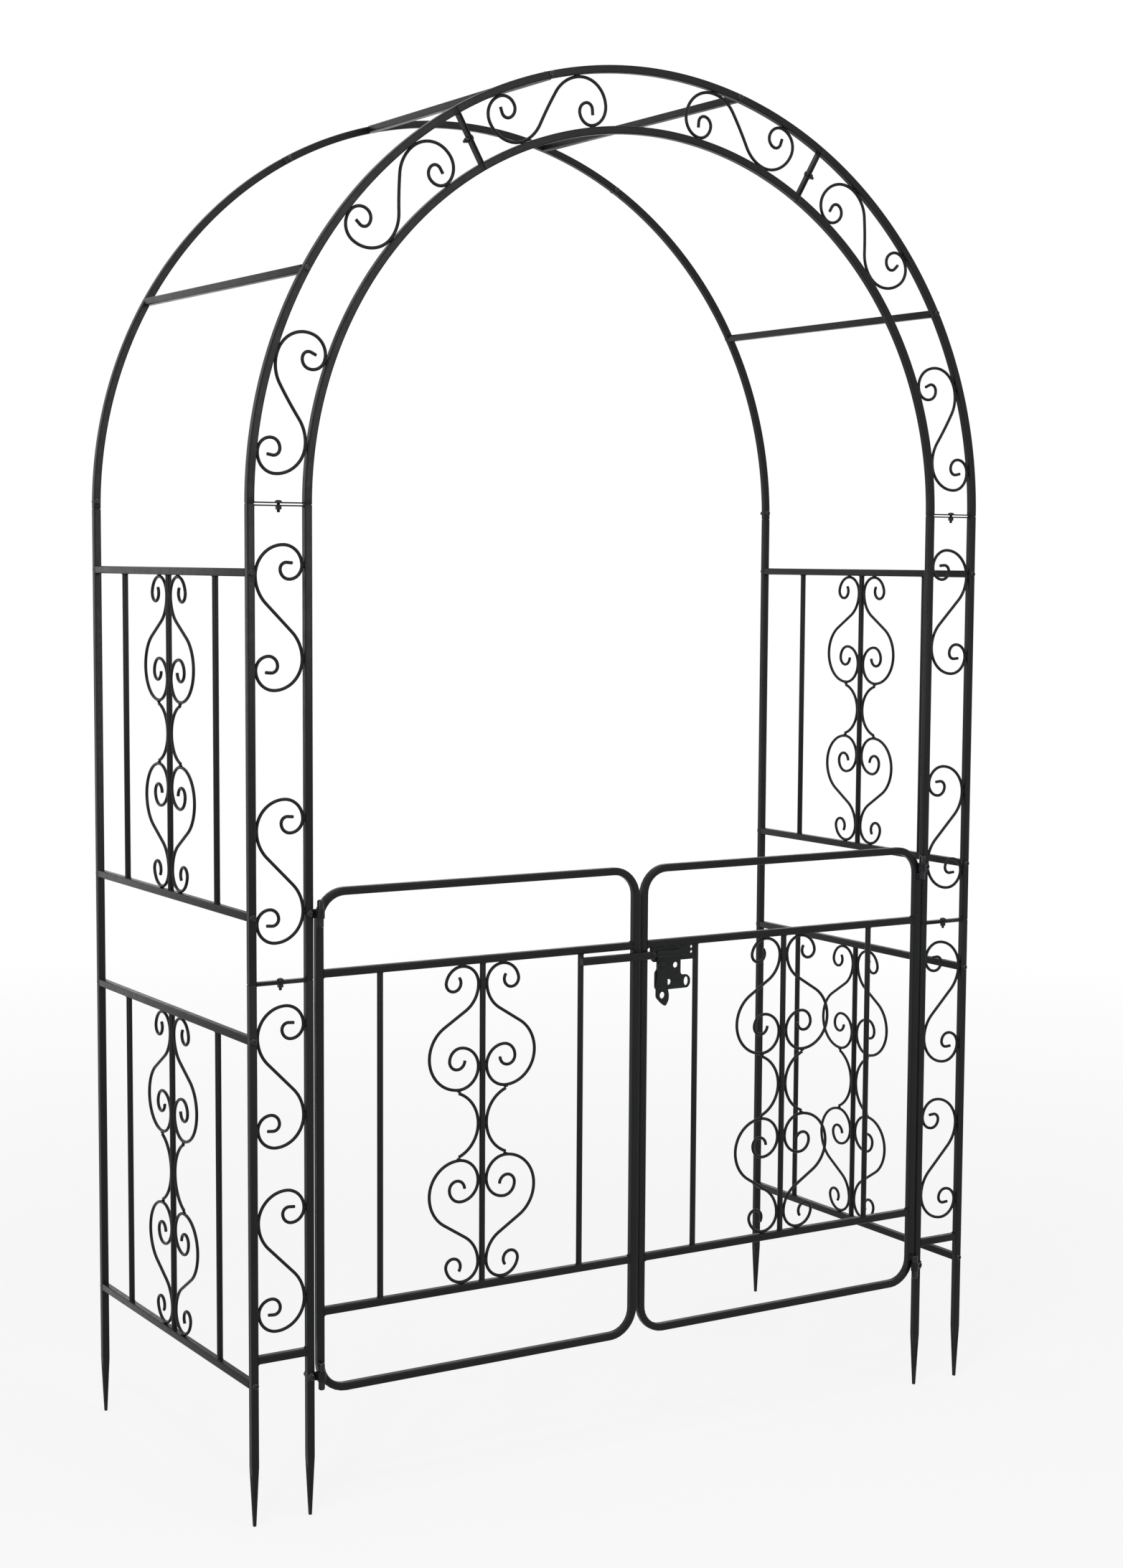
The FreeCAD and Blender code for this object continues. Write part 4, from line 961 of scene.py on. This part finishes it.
# %% [markdown]
# ## Latch
# The left leaf carries a striker bar whose round nose reaches over the meeting stile. On the
# right leaf, a pressed strip is welded under the rail, with a plate that takes a padlock and a
# tongue that hangs on a rivet and swings aside. Plates with holes are flat curves: Blender
# fills between the outline and the holes, and its bevel eases the sheared edges.

# %% Plates with holes
sheet = 3.0
sheared = 0.35


def soft_corners(points, radius):
    """An outline whose corners are rounded: each becomes a short curve between its two sides.

    The curve is a quadratic one: its weights at t are (1 - t) squared, 2 t (1 - t) and t squared.
    """
    ends = []
    for shift in (1, -1):
        way = np.roll(points, shift, axis=0) - points
        length = np.linalg.norm(way, axis=1, keepdims=True)
        ends.append((points + way / length * np.minimum(radius, length * 0.45))[:, None])
    t = np.linspace(0, 1, 5)[None, :, None]
    middle = 2 * t * (1 - t) * points[:, None]
    return ((1 - t) ** 2 * ends[0] + middle + t**2 * ends[1]).reshape(-1, 2)


def plate(origin, outline, holes, front, softness=3.0):
    """A sheet whose front face is at y = front, from places in x and z about an origin.

    A hole is (x, z, width, height). The curve lies in its own xy plane, so its points are
    turned: y becomes height and the thickness runs back from the front.
    """
    curve = bpy.data.curves.new("sheet", "CURVE")
    curve.dimensions = "2D"
    curve.fill_mode = "BOTH"
    curve.extrude = sheet / 2 - sheared
    curve.bevel_depth = sheared
    curve.bevel_resolution = 2
    curve.offset = -sheared
    loops = [soft_corners(np.array(origin) + outline, softness)]
    for x, z, width, height in holes:
        loops.append(circle(0.5, 32) * (width, height) + (x, z) + origin)
    for loop in loops:
        spline = curve.splines.new("POLY")
        spline.points.add(len(loop) - 1)
        flat = np.hstack([loop, np.full((len(loop), 2), (0, 1))])
        spline.points.foreach_set("co", flat.reshape(-1))
        spline.use_cyclic_u = True
    carrier = bpy.data.objects.new("sheet", curve)
    mesh = bpy.data.meshes.new_from_object(carrier)
    shell = bmesh.new()
    shell.from_mesh(mesh)
    bmesh.ops.remove_doubles(shell, verts=shell.verts, dist=0.002)
    bmesh.ops.recalc_face_normals(shell, faces=shell.faces)
    shell.to_mesh(mesh)
    shell.free()
    points = np.empty(len(mesh.vertices) * 3)
    mesh.vertices.foreach_get("co", points)
    x, z, depth = points.reshape(-1, 3).T
    corners = np.empty(len(mesh.loops), dtype=np.int32)
    mesh.loops.foreach_get("vertex_index", corners)
    sides = np.empty(len(mesh.polygons), dtype=np.int32)
    mesh.polygons.foreach_get("loop_total", sides)
    bpy.data.objects.remove(carrier)
    bpy.data.curves.remove(curve)
    bpy.data.meshes.remove(mesh)
    return points_of(x, front + sheet / 2 - depth, z), corners, sides


# %% Striker bar
nose = 6.6
striker_y = post_face - 0.6 - half_tube
striker_z = 809.5
ball = np.radians(np.linspace(-88, 88, 13))
tube_ends, neck_ends, middle = (
    points_of(x, striker_y, striker_z) for x in ([-116.0, 13.0], [8.0, 15.0], 18.6)
)
striker = [
    bar(tube_ends, Y_AXIS, ease=0.8),
    bar(neck_ends, Y_AXIS, circle(4.5, 24), 4.5, 0.3),
    turned(nose * np.cos(ball), nose * np.sin(ball), middle, X_AXIS),
]
seam = (-stile_inner, post_face - 0.3, striker_z)
striker += bead_pair(seam, X_AXIS, Z_AXIS, 11.0, 1.5, half_tube)
make_piece("striker_tube", striker, coated_tube, "striker_bar", "gate_left")

# %% Latch plates and tongue
# The strip and the lock plate are drawn about the strip's lower left corner, and the tongue
# about its rivet.
play = 0.3
latch_front = front_y - 4.0
lock_front = latch_front - sheet
tongue_front = lock_front - play - sheet
latch_top = leaf_rails[1] - half_tube
latch_left = stile_inner + half_tube
latch_right = leaf_centre - leaf_pitch - picket / 2
latch_width = latch_right - latch_left
corner = np.array([latch_left, latch_top - 24.0])
rivet = corner + (26.0, -7.0)
strip_shape = ((6, 24), (6, 6), (12, 0), (latch_width, 0), (latch_width, 24))
strip_holes = [(latch_width - 5.5, z, 5, 5) for z in (20.0, 11.5)]
lock_shape = (
    (17, 18), (17, -12), (13, -16), (13, -42), (17, -46), (77, -46),
    (82, -40), (82, -30), (76, -24), (66, -24), (63, -21), (63, 18),
)
lock_holes = ((40, -34, 9.5, 9.5), (74, -35, 9, 14.5), (53, -7, 9.5, 9.5))
latch = [
    plate(corner, strip_shape, strip_holes, latch_front, 1.5),
    plate(corner, lock_shape, lock_holes, lock_front),
]
RIB = circle(2.6, 16) * (1, 0.5)
for start, end, y in ((18, 62, lock_front), (65, latch_width - 1.5, latch_front)):
    ends = points_of(latch_left + np.array([start, end]), y, corner[1] + 7.5)
    latch.append(bar(ends, Y_AXIS, RIB, 2.6, 1.2))
pin_end = play + sheet + play + 0.3
pin_foot = (rivet[0], latch_front - sheet, rivet[1])
latch.append(turned([0.05, 3.0, 3.0, 0.05], [-1.0, -1.0, pin_end, pin_end], pin_foot, -Y_AXIS))
latch.append(button_head((rivet[0], tongue_front - play, rivet[1]), -Y_AXIS, 5.0, 1.5))
for x in np.linspace(latch_left + 12, latch_right - 12, 4):
    latch.append(bead((x, latch_front - 0.4, latch_top), X_AXIS, 12.0, 1.4))
make_piece("latch_plates", latch, coated_plate, "latch_housing", "gate_right", 35)

tongue_shape = (
    (-9, 6), (-4, 8), (6, 8), (9, 3), (10, -36), (12.5, -46),
    (12, -56), (6, -66), (-3, -60), (-12.5, -50), (-12.5, -34),
)
tongue_holes = ((0, 0, 6.1, 6.1), (-0.5, -47, 10, 11))
tongue = [plate(rivet, tongue_shape, tongue_holes, tongue_front, 4.0)]
make_piece("latch_tongue_plate", tongue, coated_plate, "latch_tongue", "latch_tongue", 35)
print("latch from x", round(latch_left, 1), "to", round(latch_right, 1))

# %% [markdown]
# ## Floor, light and camera
# A pale floor and soft lamps show the coat as it is. Black paint is seen mostly by what it
# reflects, so the white surroundings matter more than the lamps: reflections and the
# camera see a white world, while the light that falls on the object stays at a plain level.

# %% Floor
# Near the object a fifth of the floor's look is its own matt shade, which keeps the shadow.
# From 1.2 to 5 m out it fades to the white of the world, so that no edge shows.
WHITE = (1, 1, 1, 1)


def seen_by(tree, *kinds):
    """1 for rays of these kinds, and 0 for the light that falls on things."""
    rays = add_node(tree, "ShaderNodeLightPath").outputs
    seen = rays[kinds[0]]
    for kind in kinds[1:]:
        pair = {0: seen, 1: rays[kind]}
        seen = add_node(tree, "ShaderNodeMath", {"operation": "MAXIMUM"}, pair).outputs[0]
    return seen


floor_coat = bpy.data.materials.new("matt_white_studio_floor")
tree = empty_tree(floor_coat)
seen = seen_by(tree, "Is Camera Ray", "Is Glossy Ray")
place = add_node(tree, "ShaderNodeTexCoord").outputs["Object"]
away = add_node(tree, "ShaderNodeVectorMath", {"operation": "LENGTH"}, {0: place})
fading = {"Value": away.outputs["Value"], 1: 1.2, 2: 5.0, 3: 0.8, 4: 1.0}
fade = add_node(tree, "ShaderNodeMapRange", inputs=fading)
both = {0: seen, 1: fade.outputs["Result"]}
lift = add_node(tree, "ShaderNodeMath", {"operation": "MULTIPLY"}, both)
clouds = {"Vector": place, "Scale": 1 / (700 * METRE)}
grain = add_node(tree, "ShaderNodeTexNoise", inputs=clouds)
tones = {"Factor": grain.outputs["Fac"], 6: linear("#e9e9e8"), 7: linear("#efefee")}
shade = add_node(tree, "ShaderNodeMix", {"data_type": "RGBA"}, tones)
matt = add_node(tree, "ShaderNodeBsdfDiffuse", inputs={"Color": shade.outputs[2]})
white = add_node(tree, "ShaderNodeEmission", inputs={"Color": WHITE, "Strength": 1.0})
layers = {0: lift.outputs[0], 1: matt.outputs["BSDF"], 2: white.outputs["Emission"]}
mixed = add_node(tree, "ShaderNodeMixShader", inputs=layers)
add_node(tree, "ShaderNodeOutputMaterial", inputs={"Surface": mixed.outputs["Shader"]})

reach, drop = 40.0, 0.0003
floor_mesh = bpy.data.meshes.new("studio_floor")
floor_points = points_of([-reach, reach, reach, -reach], [-reach, -reach, reach, reach], -drop)
floor_mesh.from_pydata(floor_points.tolist(), [], [(0, 1, 2, 3)])
floor_mesh.materials.append(floor_coat)
floor = add_object("studio_floor", floor_mesh)

# %% World and lamps
world = bpy.data.worlds.new("white_studio")
bpy.context.scene.world = world
tree = empty_tree(world)
seen = seen_by(tree, "Is Camera Ray", "Is Glossy Ray", "Is Transmission Ray")
dimmed = {"Color": linear("#f4f6f8"), "Strength": 0.45}
soft = add_node(tree, "ShaderNodeBackground", inputs=dimmed)
white = add_node(tree, "ShaderNodeBackground", inputs={"Color": WHITE, "Strength": 1.0})
layers = {0: seen, 1: soft.outputs[0], 2: white.outputs[0]}
sky = add_node(tree, "ShaderNodeMixShader", inputs=layers)
add_node(tree, "ShaderNodeOutputWorld", inputs={"Surface": sky.outputs["Shader"]})


def soft_lamp(name, at, aim, width, height, power):
    """A softbox at a point, turned towards another. Lengths are in metres, power in watts."""
    light = bpy.data.lights.new(name, "AREA")
    light.shape = "RECTANGLE"
    light.size = width
    light.size_y = height
    light.energy = power
    lamp = add_object(name, light)
    lamp.location = at
    lamp.rotation_euler = (Vector(aim) - Vector(at)).to_track_quat("-Z", "Y").to_euler()


soft_lamp("overhead_softbox", (-0.4, -0.8, 5.2), (0, 0, 1.2), 3.2, 3.2, 60)
soft_lamp("upper_left_softbox", (-2.4, -2.5, 4.5), (-0.3, -0.3, 1.0), 0.5, 0.5, 30)
soft_lamp("left_softbox", (-4.6, -2.9, 2.1), (-0.3, -0.2, 1.6), 1.6, 2.3, 62)
soft_lamp("front_fill_softbox", (1.5, -4.9, 2.4), (-0.5, -0.3, 1.4), 2.0, 2.0, 44)
soft_lamp("rear_left_softbox", (-3.4, 4.6, 2.2), (-0.5, 0, 1.2), 1.8, 3.0, 15)

# %% [markdown]
# The camera stands to the left of the arch at eye height, turned 32 degrees to the right
# and tipped down 5. Its matrix is built from those angles, so its three columns are the
# picture's right, the picture's up, and the way back from the scene.

# %% Camera
camera_at = (-2.2107, -3.6221, 1.445)
yaw, pitch, roll = 0.555, -0.090, 0.006
forward = np.array([math.sin(yaw), math.cos(yaw), math.tan(pitch)]) * math.cos(pitch)
level = np.array([math.cos(yaw), -math.sin(yaw), 0.0])
upward = np.cross(level, forward)
right = level * math.cos(roll) + upward * math.sin(roll)
up = upward * math.cos(roll) - level * math.sin(roll)
lens = bpy.data.cameras.new("photo_view")
lens.sensor_fit = "HORIZONTAL"
lens.sensor_width = 36.0
lens.lens = 80.43
camera = add_object("photo_view", lens)
rows = np.stack([right, up, -forward, camera_at], axis=1).tolist()
camera.matrix_world = Matrix([*rows, (0, 0, 0, 1)])
bpy.context.scene.camera = camera
bpy.context.scene.view_settings.view_transform = "Standard"
print("camera at", camera_at)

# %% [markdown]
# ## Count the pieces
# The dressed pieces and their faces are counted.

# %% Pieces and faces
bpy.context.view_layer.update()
faces = sum(len(piece.data.polygons) for piece in pieces)
print("pieces:", len(pieces), "faces:", faces)
